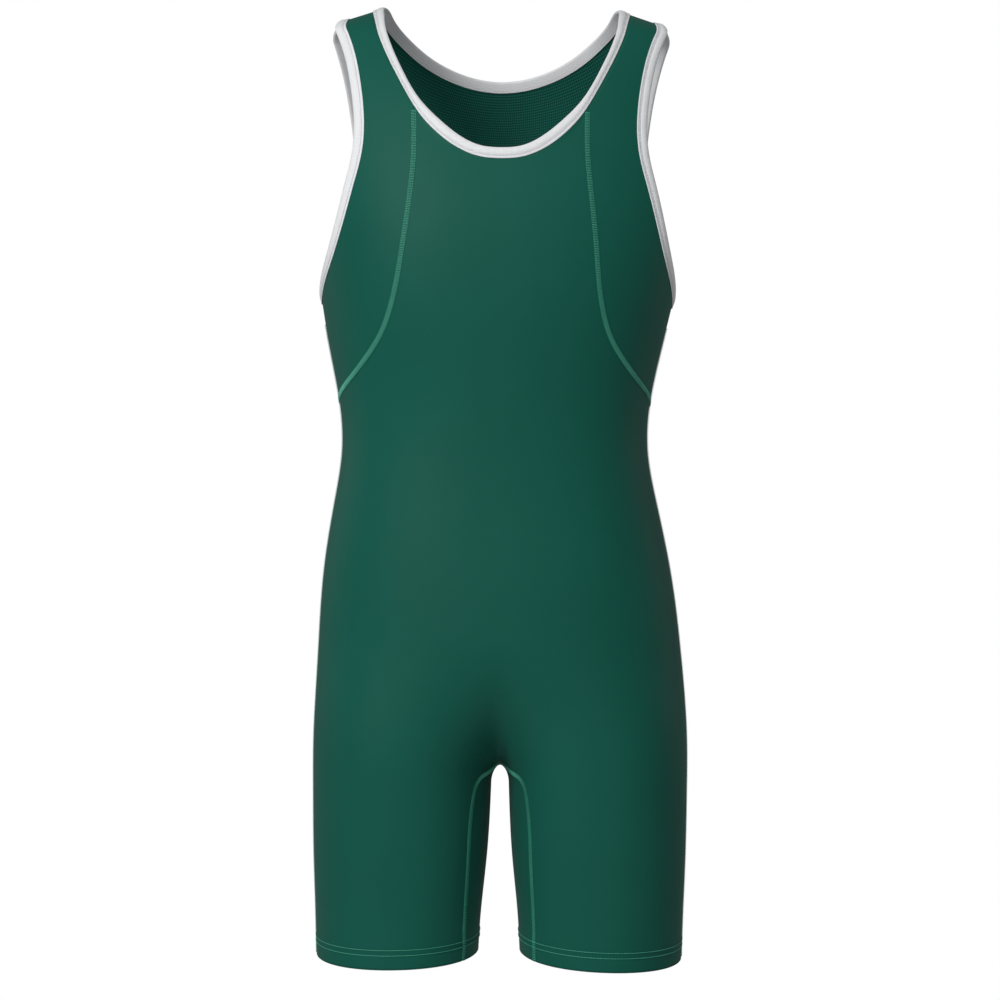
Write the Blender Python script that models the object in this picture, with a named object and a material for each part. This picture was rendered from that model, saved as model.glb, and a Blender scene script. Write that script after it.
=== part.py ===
"""Wrestling singlet in its worn shape: open at the neck, both armholes and both legs.

Metres, +Z up. The front faces -Y, so the wearer's left is +X. The origin is midway between
the shoulder straps, where they would rest on a wearer's shoulders.

The cloth lies on one smooth form. A place on that form is a pair (angle, rise): the angle
is a compass bearing in degrees, 0 at the front and 90 on the wearer's left, and the rise is
the height above CHEST for all that is below it. Above CHEST the rise is an arc that
closes over the shoulders, ARC metres to the radian.
"""

import math

import bpy
import numpy as np

# Cloth
CLOTH = 0.0012  # one layer of knit
SEAM_GAP = 0.0003  # left between neighbouring pieces
HEM_TURN = 0.019  # height of the turned-up hem
BINDING_WIDTH = 0.0105
BINDING_LAYER = 0.0008
BOUND_BACK = 0.0012  # the bound edge of a panel stops this far inside the binding's fold
HEM_BACK = CLOTH + SEAM_GAP  # and the hem edge this far above the fold of the turn-up

# Form
CHEST = -0.170  # height where the arc over the shoulders starts
ARC = 0.150
SHOULDER_TIP = 0.124  # half width of the form at height 0, where the shoulder slope crosses it
SHOULDER_SLOPE = 0.33
SHOULDER_ROUND = 0.014
LEG_OUT = 0.090  # each leg's centre line, away from the middle
LEGS_BLEND = (-0.560, -0.697)  # heights between which the trunk becomes two legs
CROTCH_ROUND = 0.006
TRUNK = (
    # height, half_width, front_depth, back_depth, squareness
    (0.030, 0.175, 0.028, 0.032, 2.20),
    (0.000, 0.176, 0.046, 0.050, 2.20),
    (-0.025, 0.177, 0.063, 0.068, 2.20),
    (-0.060, 0.179, 0.082, 0.089, 2.25),
    (-0.100, 0.180, 0.097, 0.104, 2.30),
    (-0.150, 0.177, 0.110, 0.112, 2.35),
    (-0.200, 0.171, 0.117, 0.112, 2.40),
    (-0.248, 0.162, 0.117, 0.107, 2.40),
    (-0.300, 0.1515, 0.111, 0.098, 2.35),
    (-0.350, 0.1415, 0.104, 0.090, 2.30),
    (-0.395, 0.139, 0.101, 0.088, 2.30),
    (-0.440, 0.146, 0.102, 0.095, 2.30),
    (-0.500, 0.157, 0.105, 0.110, 2.30),
    (-0.560, 0.1635, 0.107, 0.121, 2.30),
    (-0.620, 0.167, 0.106, 0.122, 2.30),
    (-0.680, 0.169, 0.104, 0.112, 2.30),
)
LEG = (
    # height, centre, half_width, front_depth, back_depth, squareness
    (-0.560, 0.084, 0.082, 0.107, 0.121, 2.20),
    (-0.600, 0.086, 0.082, 0.105, 0.121, 2.20),
    (-0.650, 0.089, 0.081, 0.100, 0.114, 2.20),
    (-0.700, 0.090, 0.080, 0.094, 0.104, 2.20),
    (-0.765, 0.091, 0.078, 0.087, 0.094, 2.15),
    (-0.820, 0.0925, 0.0745, 0.081, 0.084, 2.10),
    (-0.860, 0.093, 0.073, 0.079, 0.081, 2.10),
)

# Stance: the worn shape leans a little
SIDE_DROP = 0.0122  # fall of the wearer's left side, per metre across
SWAY = (
    # height, shift
    (-0.860, -0.0010),
    (-0.700, 0.0000),
    (-0.600, 0.0000),
    (-0.500, -0.0025),
    (-0.400, -0.0045),
    (-0.300, -0.0042),
    (-0.200, 0.0000),
    (-0.100, 0.0005),
    (0.020, 0.0018),
)

# Cut lines of the wearer's left half
NECK = (
    # angle, rise
    (0, 0.0540),
    (10, 0.0560),
    (20, 0.0660),
    (30, 0.0810),
    (40, 0.0970),
    (50, 0.1160),
    (60, 0.1320),
    (70, 0.1450),
    (84, 0.1535),
    (97, 0.1560),
    (110, 0.1530),
    (123, 0.1498),
    (138, 0.1475),
    (153, 0.1465),
    (167, 0.1460),
    (180, 0.1458),
)
SHOULDER_SEAM = 97  # just behind the ridge of the shoulder
ARMHOLE_FRONT = (
    # angle, rise
    (97, 0.1200),
    (88, 0.1245),
    (78, 0.1175),
    (70, 0.1040),
    (64, 0.0840),
    (60, 0.0580),
    (59, 0.0360),
    (60.5, 0.0080),
    (64, -0.0250),
    (69, -0.0500),
    (77, -0.0710),
    (88, -0.0840),
)
ARMHOLE_BACK = (
    # angle, rise
    (97, 0.1200),
    (105, 0.1090),
    (112, 0.0920),
    (117, 0.0700),
    (120, 0.0420),
    (120, 0.0110),
    (117, -0.0210),
    (110.5, -0.0500),
    (100.5, -0.0725),
    (88, -0.0840),
)
PRINCESS_TOP = 42.5
PRINCESS = (
    # angle, rise (below the neck edge)
    (39.8, 0.0760),
    (37.7, 0.0470),
    (36.9, 0.0140),
    (37.2, -0.0170),
    (38.4, -0.0480),
    (40.4, -0.0780),
    (43.0, -0.1000),
    (46.3, -0.1180),
    (50.7, -0.1330),
    (56.2, -0.1460),
    (63.5, -0.1590),
    (74.5, -0.1720),
    (88.0, -0.1820),
)
SIDE_SEAM = (
    # angle, rise
    (88.0, -0.0840),
    (88.0, -0.1820),
    (89.0, -0.2600),
    (90.0, -0.4000),
    (90.0, -0.6900),
)
CROTCH_FRONT, CROTCH_BACK = (-0.020, -0.5090), (0.045, -0.5025)  # y and rise on the middle line
GUSSET_FRONT = (
    # angle, rise
    (-71.0, -0.5140),
    (-62.0, -0.5170),
    (-55.0, -0.5200),
    (-50.5, -0.5270),
    (-48.5, -0.5370),
    (-47.0, -0.5570),
    (-48.0, -0.6000),
    (-50.0, -0.6500),
    (-51.0, -0.6900),
)
GUSSET_BACK = (
    # angle, rise
    (245.0, -0.5085),
    (238.0, -0.5150),
    (233.0, -0.5240),
    (230.5, -0.5370),
    (229.5, -0.5570),
    (229.5, -0.6000),
    (229.0, -0.6500),
    (228.0, -0.6900),
)
BACK_GUIDE = (
    # angle, rise: a line down the back panel that steers its rows
    (138, 0.1475),
    (143, 0.1000),
    (147, 0.0200),
    (150, -0.1000),
    (150, -0.3000),
    (152, -0.4200),
    (160, -0.5150),
    (162, -0.6900),
)
HEM_HEIGHT, HEM_DIP, HEM_DIP_AT = -0.852, 0.0075, 20  # lowest in front of each leg

# Mesh
FRONT_COLUMNS, SIDE_COLUMNS, BACK_COLUMNS, STRAP_COLUMNS, GUSSET_COLUMNS = 5, 3, 3, 3, 4
NECK_SIDE_STEPS, NECK_BACK_STEPS, NECK_FADE = 6, 4, 7
PRINCESS_STEPS, ARMHOLE_STEPS, FLANK_STEPS, HIP_STEPS = 14, 15, 5, 20
LEG_STEPS = (0, 0.02, 0.045, 0.08, 0.13, 0.20, 0.29, 0.39, 0.50, 0.61, 0.73, 0.86, 1)
STRIP = 0.011  # width of the strip of cloth that the binding covers
PRINCESS_FALL = 0.0145  # the same strip, measured down the slanting princess seam
GAP_CENTRE = -0.705  # height in the gap between the legs that the gusset's rows fan about

GREEN, WHITE = (0.012, 0.090, 0.062, 1), (0.78, 0.79, 0.80, 1)


def spline(keys, values):
    """The natural cubic through a table's rows, as a function that runs straight past its ends."""
    keys, values = np.asarray(keys, float), np.asarray(values, float)
    order = np.argsort(keys)
    keys, values = keys[order], values[order]
    step, rise = np.diff(keys), np.diff(values)
    count = len(keys)
    left, right = np.eye(count), np.zeros(count)
    for i in range(1, count - 1):
        left[i, i - 1 : i + 2] = step[i - 1], 2 * (step[i - 1] + step[i]), step[i]
        right[i] = 6 * (rise[i] / step[i] - rise[i - 1] / step[i - 1])
    bend = np.linalg.solve(left, right)
    first = rise[0] / step[0] - step[0] * bend[1] / 6
    last = rise[-1] / step[-1] + step[-1] * bend[-2] / 6

    def value(at):
        at = np.asarray(at, float)
        inside = np.clip(at, keys[0], keys[-1])
        i = np.clip(np.searchsorted(keys, inside) - 1, 0, count - 2)
        before, after, gap = keys[i + 1] - inside, inside - keys[i], step[i]
        curve = (bend[i] * before**3 + bend[i + 1] * after**3) / (6 * gap)
        curve += (values[i] / gap - bend[i] * gap / 6) * before
        curve += (values[i + 1] / gap - bend[i + 1] * gap / 6) * after
        return curve + np.minimum(at - keys[0], 0) * first + np.maximum(at - keys[-1], 0) * last

    return value


def columns_of(table):
    """Each column after the first as a quick function of the first, from 1 mm samples."""
    rows = np.array(table)
    heights = np.arange(-0.95, 0.25, 0.001)
    sampled = [spline(rows[:, 0], rows[:, k])(heights) for k in range(1, rows.shape[1])]
    return lambda height: [np.interp(height, heights, column) for column in sampled]


trunk_at, leg_at, sway_at = columns_of(TRUNK), columns_of(LEG), columns_of(SWAY)


def eased(x):
    x = np.clip(x, 0, 1)
    return x * x * (3 - 2 * x)


def rounded_min(a, b, width):
    """The smaller of two values, with the corner between them rounded."""
    mix = np.clip(0.5 + 0.5 * (b - a) / width, 0, 1)
    return b * (1 - mix) + a * mix - width * mix * (1 - mix)


def oval(x, y, half_width, front, back, squareness):
    depth = np.where(y < 0, front, back)
    inside = np.abs(x / half_width) ** squareness + np.abs(y / depth) ** squareness
    return inside ** (1 / squareness)


def form(points):
    """Under 0 inside the form, over 0 outside it, roughly in metres."""
    x, y, height = points[..., 0], points[..., 1], points[..., 2]
    half_width, front, back, squareness = trunk_at(height)
    slope = SHOULDER_TIP - height / SHOULDER_SLOPE
    half_width = np.maximum(rounded_min(half_width, slope, SHOULDER_ROUND), 0.005)
    front, back = np.maximum(front, 0.008), np.maximum(back, 0.008)
    trunk = 0.10 * (oval(x, y, half_width, front, back, squareness) - 1)
    centre, *leg = leg_at(np.clip(height, -0.90, -0.56))
    out = np.sqrt(x * x + CROTCH_ROUND**2)
    legs = 0.08 * (oval(out - centre, y, *leg) - 1)
    split = eased((height - LEGS_BLEND[0]) / (LEGS_BLEND[1] - LEGS_BLEND[0]))
    return (1 - split) * trunk + split * legs


def outward(points):
    """Unit normals of the form."""
    slope = np.empty(points.shape)
    for axis in range(3):
        nudge = np.zeros(3)
        nudge[axis] = 5e-5
        slope[..., axis] = form(points + nudge) - form(points - nudge)
    return slope / np.linalg.norm(slope, axis=-1, keepdims=True)


def cast(start, direction, far, leaving=True):
    """Where rays from inside leave the form or, with leaving False, where they enter it."""
    low, high = np.zeros(start.shape[:-1]), np.broadcast_to(far, start.shape[:-1])
    for _ in range(30):
        middle = (low + high) / 2
        inside = form(start + direction * middle[..., None]) < 0
        on = inside if leaving else ~inside
        low, high = np.where(on, middle, low), np.where(on, high, middle)
    return start + direction * low[..., None]


def leg_shift(height):
    """How far the axis that the angles turn about has moved towards the leg."""
    return LEG_OUT * eased((-0.45 - height) / 0.21)


def on_form(places):
    """Points for an array of (angle, rise) pairs."""
    angle, rise = np.radians(places[..., 0]), places[..., 1]
    height, lift = CHEST + np.minimum(rise, 0), np.maximum(rise, 0) / ARC
    shift = leg_shift(height)
    start = np.stack([shift, 0 * rise, height], -1)
    flat = np.cos(lift)
    direction = np.stack([np.sin(angle) * flat, -np.cos(angle) * flat, np.sin(lift)], -1)
    inward = direction[..., 0] < -1e-6
    to_middle = shift / np.where(inward, -direction[..., 0], 1)
    return cast(start, direction, np.where(inward & (shift > 0.001), np.minimum(0.26, to_middle), 0.26))


def places_of(points):
    """The (angle, rise) pairs of points, the reverse of on_form. Angles run from -90 to 270."""
    x, y, height = points[..., 0], points[..., 1], points[..., 2]
    lift = ARC * np.arctan2(height - CHEST, np.hypot(x, y))
    rise = np.where(height > CHEST, lift, height - CHEST)
    angle = np.degrees(np.arctan2(x - leg_shift(np.minimum(height, CHEST)), -y))
    return np.stack([np.where(angle < -90, angle + 360, angle), rise], -1)


def on_middle(rises, back=False):
    """Points of the middle line, front or back, at these rises."""
    rises = np.asarray(rises, float)
    upper = on_form(np.stack([np.full(rises.shape, 180.0 if back else 0.0), rises], -1))
    side = 1 if back else -1
    start = np.stack([0 * rises, 0 * rises + side * 0.20, CHEST + rises], -1)
    lower = cast(start, np.array([0, -side, 0.0]), 0.20, leaving=False)
    points = np.where((rises > -0.2)[..., None], upper, lower)
    points[..., 0] = 0
    return points


def line(table, first=0, last=None):
    """A smooth line through the rows of a table, as many close (angle, rise) samples.

    The line starts at row first and ends at row last. Rows outside them only steer its ends.
    """
    rows = np.array(table, float)
    metres = rows * (math.radians(1) * ARC, 1)
    along = np.append(0, np.cumsum(np.linalg.norm(np.diff(metres, axis=0), axis=1)))
    fine = np.linspace(along[first], along[-1 if last is None else last], 800)
    return np.stack([spline(along, rows[:, 0])(fine), spline(along, rows[:, 1])(fine)], -1)


def spaced(samples, steps):
    """Places along a line, at even steps or at the given shares of its length."""
    points = on_form(samples)
    along = np.append(0, np.cumsum(np.linalg.norm(np.diff(points, axis=0), axis=1)))
    shares = np.linspace(0, 1, steps + 1) if np.isscalar(steps) else np.asarray(steps)
    at = shares * along[-1]
    return np.stack([np.interp(at, along, samples[:, k]) for k in (0, 1)], -1)


def at_rises(samples, rises):
    """Places of a falling line at these rises."""
    return np.stack([np.interp(-rises, -samples[:, 1], samples[:, 0]), rises], -1)


def hem_rise(angle):
    return HEM_HEIGHT - CHEST - HEM_DIP * np.cos(np.radians(np.asarray(angle) - HEM_DIP_AT))


def ruled(left, right, shares):
    """Rows of places from each left one to the right one of the same row."""
    shares = np.asarray(shares)[None, :, None]
    return left[:, None] * (1 - shares) + right[:, None] * shares


def inner_line(edge):
    """The line on the form that runs STRIP inside a closed edge, with the opening on its left."""
    run = np.roll(edge, -1, axis=0) - np.roll(edge, 1, axis=0)
    across = np.cross(run, outward(edge))
    across /= np.linalg.norm(across, axis=-1, keepdims=True)
    moved = edge + across * STRIP
    for _ in range(3):
        up = outward(moved)
        moved = cast(moved - up * 0.01, up, 0.02)
    return moved


class Panel:
    """Cloth built up from grids of points, where equal points are one."""

    def __init__(self):
        self.points, self.known, self.triangles, self.grids = [], {}, [], []

    def index(self, point):
        key = tuple(np.round(point, 6) + 0.0)
        if key not in self.known:
            self.known[key] = len(self.points)
            self.points.append(np.array(point, float))
        return self.known[key]

    def add(self, grid, mirrored=False):
        """Adds a grid, or its reflection in the middle plane."""
        grid = np.array(grid, float)
        grid[np.abs(grid[..., 0]) < 1e-6, 0] = 0
        ids = np.array([[self.index(p * ((-1, 1, 1) if mirrored else 1)) for p in row] for row in grid])
        for i in range(len(ids) - 1):
            for j in range(len(ids[0]) - 1):
                a, b, c, d = ids[i, j], ids[i, j + 1], ids[i + 1, j + 1], ids[i + 1, j]
                short = np.linalg.norm(grid[i, j] - grid[i + 1, j + 1])
                other = np.linalg.norm(grid[i, j + 1] - grid[i + 1, j])
                pair = ((a, b, c), (a, c, d)) if short <= other else ((a, b, d), (b, c, d))
                self.triangles += [t for t in pair if len(set(t)) == 3]
        self.grids.append(len(self.triangles))

    def both(self, grid):
        self.add(grid)
        self.add(grid, mirrored=True)

    def finish(self, bound=(), hem=()):
        """(points, normals, triangles) with every edge drawn back from its seam or fold line.

        bound and hem are the points of the bound edges and of the hem, on the wearer's left.
        """
        points = np.array(self.points)
        mirror = np.where(points[:, :1] < 0, (-1, 1, 1), (1, 1, 1))
        normals = outward(points * mirror) * mirror
        triangles = np.array(self.triangles)
        corners = points[triangles]
        facing = np.cross(corners[:, 1] - corners[:, 0], corners[:, 2] - corners[:, 0])
        outer = (facing * normals[triangles].sum(1)).sum(1)
        for first, last in zip([0] + self.grids, self.grids):
            if outer[first:last].sum() < 0:
                triangles[first:last] = triangles[first:last, ::-1]
        keys = {"bound": self.keys(bound), "hem": self.keys(hem)}
        moved = points.copy()
        for vertex, sides in self.border(triangles).items():
            rows, wanted = [normals[vertex]], [0.0]
            for end in sides:
                pair = {self.key(points[vertex]), self.key(points[end])}
                back = SEAM_GAP / 2
                if pair <= keys["bound"]:
                    back = BOUND_BACK
                elif pair <= keys["hem"]:
                    back = HEM_BACK
                run = points[end] - points[vertex]
                inward = np.cross(normals[vertex], run if sides[end] else -run)
                rows.append(inward / np.linalg.norm(inward))
                wanted.append(back)
            rows, wanted = np.array(rows), np.array(wanted)
            moved[vertex] += np.linalg.lstsq(rows, wanted, rcond=0.15)[0]
        return moved, normals, triangles

    @staticmethod
    def key(point):
        return tuple(np.round(np.abs(point) * (1, 0, 1) + point * (0, 1, 0), 5) + 0.0)

    def keys(self, points):
        return {self.key(p) for p in points}

    @staticmethod
    def border(triangles):
        """For each border vertex, its two border neighbours, and whether the border runs to them."""
        runs = {(t[k], t[(k + 1) % 3]) for t in triangles.tolist() for k in range(3)}
        ends = {}
        for a, b in runs:
            if (b, a) not in runs:
                ends.setdefault(a, {})[b] = True
                ends.setdefault(b, {})[a] = False
        return ends


def stance(points):
    """The lean and sway of the worn shape."""
    moved = points.copy()
    moved[..., 0] += sway_at(points[..., 2])[0]
    moved[..., 2] -= SIDE_DROP * points[..., 0]
    return moved


def make_object(name, points, faces, colour, roughness):
    mesh = bpy.data.meshes.new(name)
    mesh.from_pydata(stance(points).tolist(), [], np.asarray(faces).tolist())
    mesh.validate()
    material = bpy.data.materials.new(name)
    material.use_nodes = True
    shader = material.node_tree.nodes["Principled BSDF"]
    shader.inputs["Base Color"].default_value = colour
    shader.inputs["Roughness"].default_value = roughness
    shader.inputs["Metallic"].default_value = 0
    mesh.materials.append(material)
    made = bpy.data.objects.new(name, mesh)
    bpy.context.scene.collection.objects.link(made)
    return made


def make_cloth(name, panel, bound=(), hem=()):
    """A panel as a closed wall, one layer of cloth thick."""
    points, normals, triangles = panel.finish(bound, hem)
    count = len(points)
    walls = []
    for a, sides in panel.border(triangles).items():
        for b, forward in sides.items():
            if forward:
                walls += [(b, a, a + count), (b, a + count, b + count)]
    faces = np.concatenate([triangles, triangles[:, ::-1] + count, walls])
    make_object(name, np.concatenate([points, points - normals * CLOTH]), faces, GREEN, 0.55)


def sweep(edge, inner, section):
    """Sweeps a closed section round a closed edge.

    Each section point is (share, lift): its share of the way from the edge to the inner line,
    and its height above the cloth's outer face.
    """
    section = np.array(section)
    edge_up, inner_up = outward(edge), outward(inner)
    share, lift = section[:, 0][None, :, None], section[:, 1][None, :, None]
    rings = edge[:, None] * (1 - share) + inner[:, None] * share
    rings = rings + lift * (edge_up[:, None] * (1 - share) + inner_up[:, None] * share)
    steps, around = rings.shape[:2]
    faces = []
    for i in range(steps):
        k = (i + 1) % steps
        falling = np.linalg.norm(edge[i] - inner[k]) <= np.linalg.norm(edge[k] - inner[i])
        for j in range(around):
            m = (j + 1) % around
            a, b, c, d = i * around + j, i * around + m, k * around + m, k * around + j
            outwards = section[j, 0] < section[m, 0]
            faces += [(a, b, c), (a, c, d)] if outwards == falling else [(a, b, d), (b, c, d)]
    points, faces = rings.reshape(-1, 3), np.array(faces)
    corners = points[faces]
    volume = (np.cross(corners[:, 0], corners[:, 1]) * corners[:, 2]).sum()
    return points, faces if volume > 0 else faces[:, ::-1]


def reflected(points, faces):
    return points * (-1, 1, 1), faces[:, ::-1]


def binding_section():
    """A folded strip over the cloth's edge, as shares of STRIP and lifts."""
    top, under = SEAM_GAP, -CLOTH - SEAM_GAP
    layer, deep = BINDING_LAYER, BINDING_WIDTH
    outline = (
        (deep, top),
        (deep, top + layer),
        (0.0012, top + layer),
        (0.0002, top),
        (0.0, (top + under) / 2),
        (0.0002, under),
        (0.0012, under - layer),
        (deep, under - layer),
        (deep, under),
        (BOUND_BACK - SEAM_GAP, under),
        (BOUND_BACK - SEAM_GAP, top),
    )
    return [(across / STRIP, lift) for across, lift in outline]


def hem_section():
    """The turned-up layer and its fold under the cloth's edge, as shares of HEM_TURN and lifts."""
    inner, deep = -CLOTH - SEAM_GAP, -2 * CLOTH - SEAM_GAP
    outline = (
        (HEM_TURN * 0.985, inner),
        (HEM_TURN * 0.985, deep),
        (0.0004, deep),
        (0.0, deep + 0.0005),
        (0.0, -0.0004),
        (0.0004, 0.0),
        (CLOTH, 0.0),
        (CLOTH, inner),
    )
    return [(across / HEM_TURN, lift) for across, lift in outline]


def middle_places(rises, back=False):
    return places_of(on_middle(rises, back))


class Cuts:
    """The nodes of every cut line, for the wearer's left half.

    neck and arm_* are points of the edges, with *_inner the line under the binding's far side.
    The rows are places down the long seams.
    """

    def __init__(self):
        self.cut_neck()
        side = line(SIDE_SEAM)
        armpit, tip = ARMHOLE_FRONT[-1][1], SIDE_SEAM[1][1]
        self.cut_armhole(armpit)
        down = at_rises(self.princess, np.array([self.neck_place(PRINCESS_TOP)[1] - PRINCESS_FALL]))
        self.neck_inner[self.top] = on_form(down)[0]
        below = self.princess[self.princess[:, 1] < down[0, 1]]
        self.princess_rows = spaced(np.concatenate([down, below]), PRINCESS_STEPS)
        self.flank_rows = at_rises(side, np.linspace(armpit - STRIP, tip, FLANK_STEPS + 1))
        self.hip_rows = at_rises(side, np.linspace(tip, CROTCH_FRONT[1], HIP_STEPS + 1))
        lowest = float(hem_rise(90))
        falls = np.linspace(CROTCH_FRONT[1], lowest + HEM_TURN, len(LEG_STEPS))
        self.leg_rows = at_rises(side, np.append(falls, lowest))
        self.gusset_front = self.gusset_seam(GUSSET_FRONT, CROTCH_FRONT, False)
        self.gusset_back = self.gusset_seam(GUSSET_BACK, CROTCH_BACK, True)

    def neck_place(self, angle):
        mirrored = [(-a, r) for a, r in NECK[:0:-1]]
        rise = spline(*np.array(mirrored + list(NECK)).T)
        return np.stack([np.asarray(angle, float), rise(angle)], -1)

    def cut_neck(self):
        stops = (0, PRINCESS_TOP, SHOULDER_SEAM, BACK_GUIDE[0][0], 180)
        steps = (FRONT_COLUMNS, NECK_SIDE_STEPS, NECK_BACK_STEPS, BACK_COLUMNS)
        angles = [0.0]
        for first, last, count in zip(stops, stops[1:], steps):
            angles += list(np.linspace(first, last, count + 1)[1:])
        self.top, self.shoulder, self.guide = np.cumsum(steps[:3])
        self.neck = on_form(self.neck_place(angles))
        self.neck[[0, -1], 0] = 0
        loop = np.concatenate([self.neck, self.neck[-2:0:-1] * (-1, 1, 1)])
        self.neck_inner = inner_line(loop)[: len(self.neck)]
        self.neck_inner[[0, -1], 0] = 0
        self.neck_inner[self.shoulder] = self.on_shoulder_seam(self.neck_inner[self.shoulder])
        top = [tuple(self.neck_place(PRINCESS_TOP))]
        self.princess = line(top + list(PRINCESS))

    def on_shoulder_seam(self, point):
        return on_form(np.array([SHOULDER_SEAM, places_of(point)[1]]))

    def cut_armhole(self, armpit):
        rows = ARMHOLE_BACK[3:0:-1] + ARMHOLE_FRONT + ARMHOLE_BACK[-2:-5:-1]
        front = on_form(spaced(line(rows, 3, 2 + len(ARMHOLE_FRONT)), ARMHOLE_STEPS))
        rows = ARMHOLE_FRONT[3:0:-1] + ARMHOLE_BACK + ARMHOLE_FRONT[-2:-5:-1]
        back = on_form(spaced(line(rows, 3, 2 + len(ARMHOLE_BACK)), ARMHOLE_STEPS))
        inner = inner_line(np.concatenate([front, back[-2:0:-1]]))
        inner[0] = self.on_shoulder_seam(inner[0])
        inner[ARMHOLE_STEPS] = on_form(np.array([SIDE_SEAM[0][0], armpit - STRIP]))
        self.arm_front, self.arm_front_inner = front, inner[: ARMHOLE_STEPS + 1]
        self.arm_back = back
        self.arm_back_inner = np.concatenate([inner[:1], inner[: ARMHOLE_STEPS - 1 : -1]])

    def gusset_seam(self, table, crotch, back):
        """Places of a gusset seam from the crotch down to the hem, a row for each row of the legs."""
        seam = line([tuple(middle_places(np.array([crotch[1]]), back)[0])] + list(table))
        angle = seam[-1, 0]
        hem = float(hem_rise(angle))
        rows = spaced(seam[seam[:, 1] > hem + HEM_TURN], LEG_STEPS)
        rows[-1] = angle, hem + HEM_TURN
        return np.concatenate([rows, [[angle, hem]]])


def with_hem(places):
    """Sets the last two rows of a leg's places at the hem and at the top of its turn-up."""
    places[-1, :, 1] = hem_rise(places[-1, :, 0])
    places[-2] = places[-1] + (0, HEM_TURN)
    return places


def below_neck(left, right, inner):
    """Rows of places that start at the line inside the neck and straighten out below it."""
    shares = np.linspace(0, 1, len(inner))
    places = ruled(left, right, shares)
    bow = inner - places[0]
    for i in range(NECK_FADE):
        places[i] += bow * eased(1 - i / NECK_FADE)
    return places


def following(rows, start, end):
    """Rises from start to end that keep the rhythm of the given rows."""
    share = (rows[:, 1] - rows[-1, 1]) / (rows[0, 1] - rows[-1, 1])
    return end + (start - end) * share


def front_grid(cuts):
    """Rows from the neck to the hem, columns from the middle to the princess and side seams."""
    neck, inner = cuts.neck[: cuts.top + 1], cuts.neck_inner[: cuts.top + 1]
    trunk = np.concatenate([cuts.princess_rows, cuts.hip_rows[1:]])
    right = np.concatenate([trunk, cuts.leg_rows[1:]])
    falls = following(trunk, places_of(inner[0])[1], CROTCH_FRONT[1])
    left = np.concatenate([middle_places(falls), cuts.gusset_front[1:]])
    grid = on_form(with_hem(below_neck(left, right, places_of(inner))))
    grid[: len(trunk), 0] = on_middle(falls)
    grid[0] = inner
    return np.concatenate([neck[None], grid])


def side_grid(cuts):
    """Rows from the shoulder seam to the tip, columns from the neck and princess seam outwards."""
    inner = cuts.neck_inner[cuts.shoulder : cuts.top : -1]
    left = np.concatenate([places_of(inner), cuts.princess_rows])
    right = np.concatenate([places_of(cuts.arm_front_inner), cuts.flank_rows[1:]])
    grid = on_form(ruled(left, right, np.linspace(0, 1, SIDE_COLUMNS + 1)))
    grid[: len(inner), 0] = inner
    grid[: len(cuts.arm_front_inner), -1] = cuts.arm_front_inner
    grid[len(inner), 0] = cuts.neck_inner[cuts.top]
    grid[-1] = grid[-1, -1]
    return grid


def back_grids(cuts):
    """The outer grid, from the strap down, and the one between it and the middle."""
    inner, corner = cuts.neck_inner, cuts.neck_inner[cuts.guide]
    right = np.concatenate([places_of(cuts.arm_back_inner), cuts.flank_rows[1:]])
    right = np.concatenate([right, cuts.hip_rows[1:], cuts.leg_rows[1:]])
    strap = places_of(inner[cuts.shoulder : cuts.guide])
    start = places_of(corner)
    guide = line([tuple(start)] + list(BACK_GUIDE[1:]))
    high = np.linspace(start[1], cuts.flank_rows[0, 1], ARMHOLE_STEPS + 1 - len(strap))
    trunk = np.concatenate([high, cuts.flank_rows[1:, 1], cuts.hip_rows[1:, 1]])
    legs = (cuts.leg_rows[1:, 1] + cuts.gusset_back[1:, 1]) / 2
    guide_rows = at_rises(guide, np.concatenate([trunk, legs]))
    outer = ruled(np.concatenate([strap, guide_rows]), right, np.linspace(0, 1, STRAP_COLUMNS + 1))
    outer = on_form(with_hem(outer))
    outer[: len(strap), 0] = inner[cuts.shoulder : cuts.guide]
    outer[len(strap), 0] = corner
    outer[: ARMHOLE_STEPS + 1, -1] = cuts.arm_back_inner

    falls = following(guide_rows[: len(trunk)], places_of(inner[-1])[1], CROTCH_BACK[1])
    left = np.concatenate([middle_places(falls, back=True), cuts.gusset_back[1:]])
    middle = below_neck(left, guide_rows, places_of(inner[cuts.guide :])[::-1])
    middle = on_form(with_hem(middle))
    middle[: len(trunk), 0] = on_middle(falls, back=True)
    middle[0] = inner[cuts.guide :][::-1]
    middle[:, -1] = outer[len(strap) :, 0]
    return outer, middle


def gusset_grid(cuts, front_seam, back_seam):
    """Rows from the crotch down the inside of the leg, columns from the front seam to the back one.

    Rays leave the middle plane between the legs: fanned about GAP_CENTRE above it, level below.
    """

    def turn(points):
        height = points[:, 2] - GAP_CENTRE
        fan = np.degrees(np.arctan2(points[:, 0], np.maximum(height, 1e-9)))
        return np.stack([points[:, 1], np.where(height > 0, fan, 90 - height * 1000)], -1)

    places = ruled(turn(front_seam), turn(back_seam), np.linspace(0, 1, GUSSET_COLUMNS + 1))
    across, turned = places[..., 0], places[..., 1]
    fan = np.radians(np.clip(turned, 0, 90))
    height = GAP_CENTRE - np.maximum(turned - 90, 0) / 1000
    start = np.stack([0 * across, across, height], -1)
    direction = np.stack([np.sin(fan), 0 * fan, np.cos(fan)], -1)
    grid = cast(start, direction, 0.08, leaving=False)
    hem_places = places_of(grid[-1])
    hem_places[:, 1] = hem_rise(hem_places[:, 0])
    grid[-1], grid[-2] = on_form(hem_places), on_form(hem_places + (0, HEM_TURN))
    grid[0, :, 0] = 0
    grid[:, 0], grid[:, -1] = front_seam, back_seam
    return grid


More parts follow.
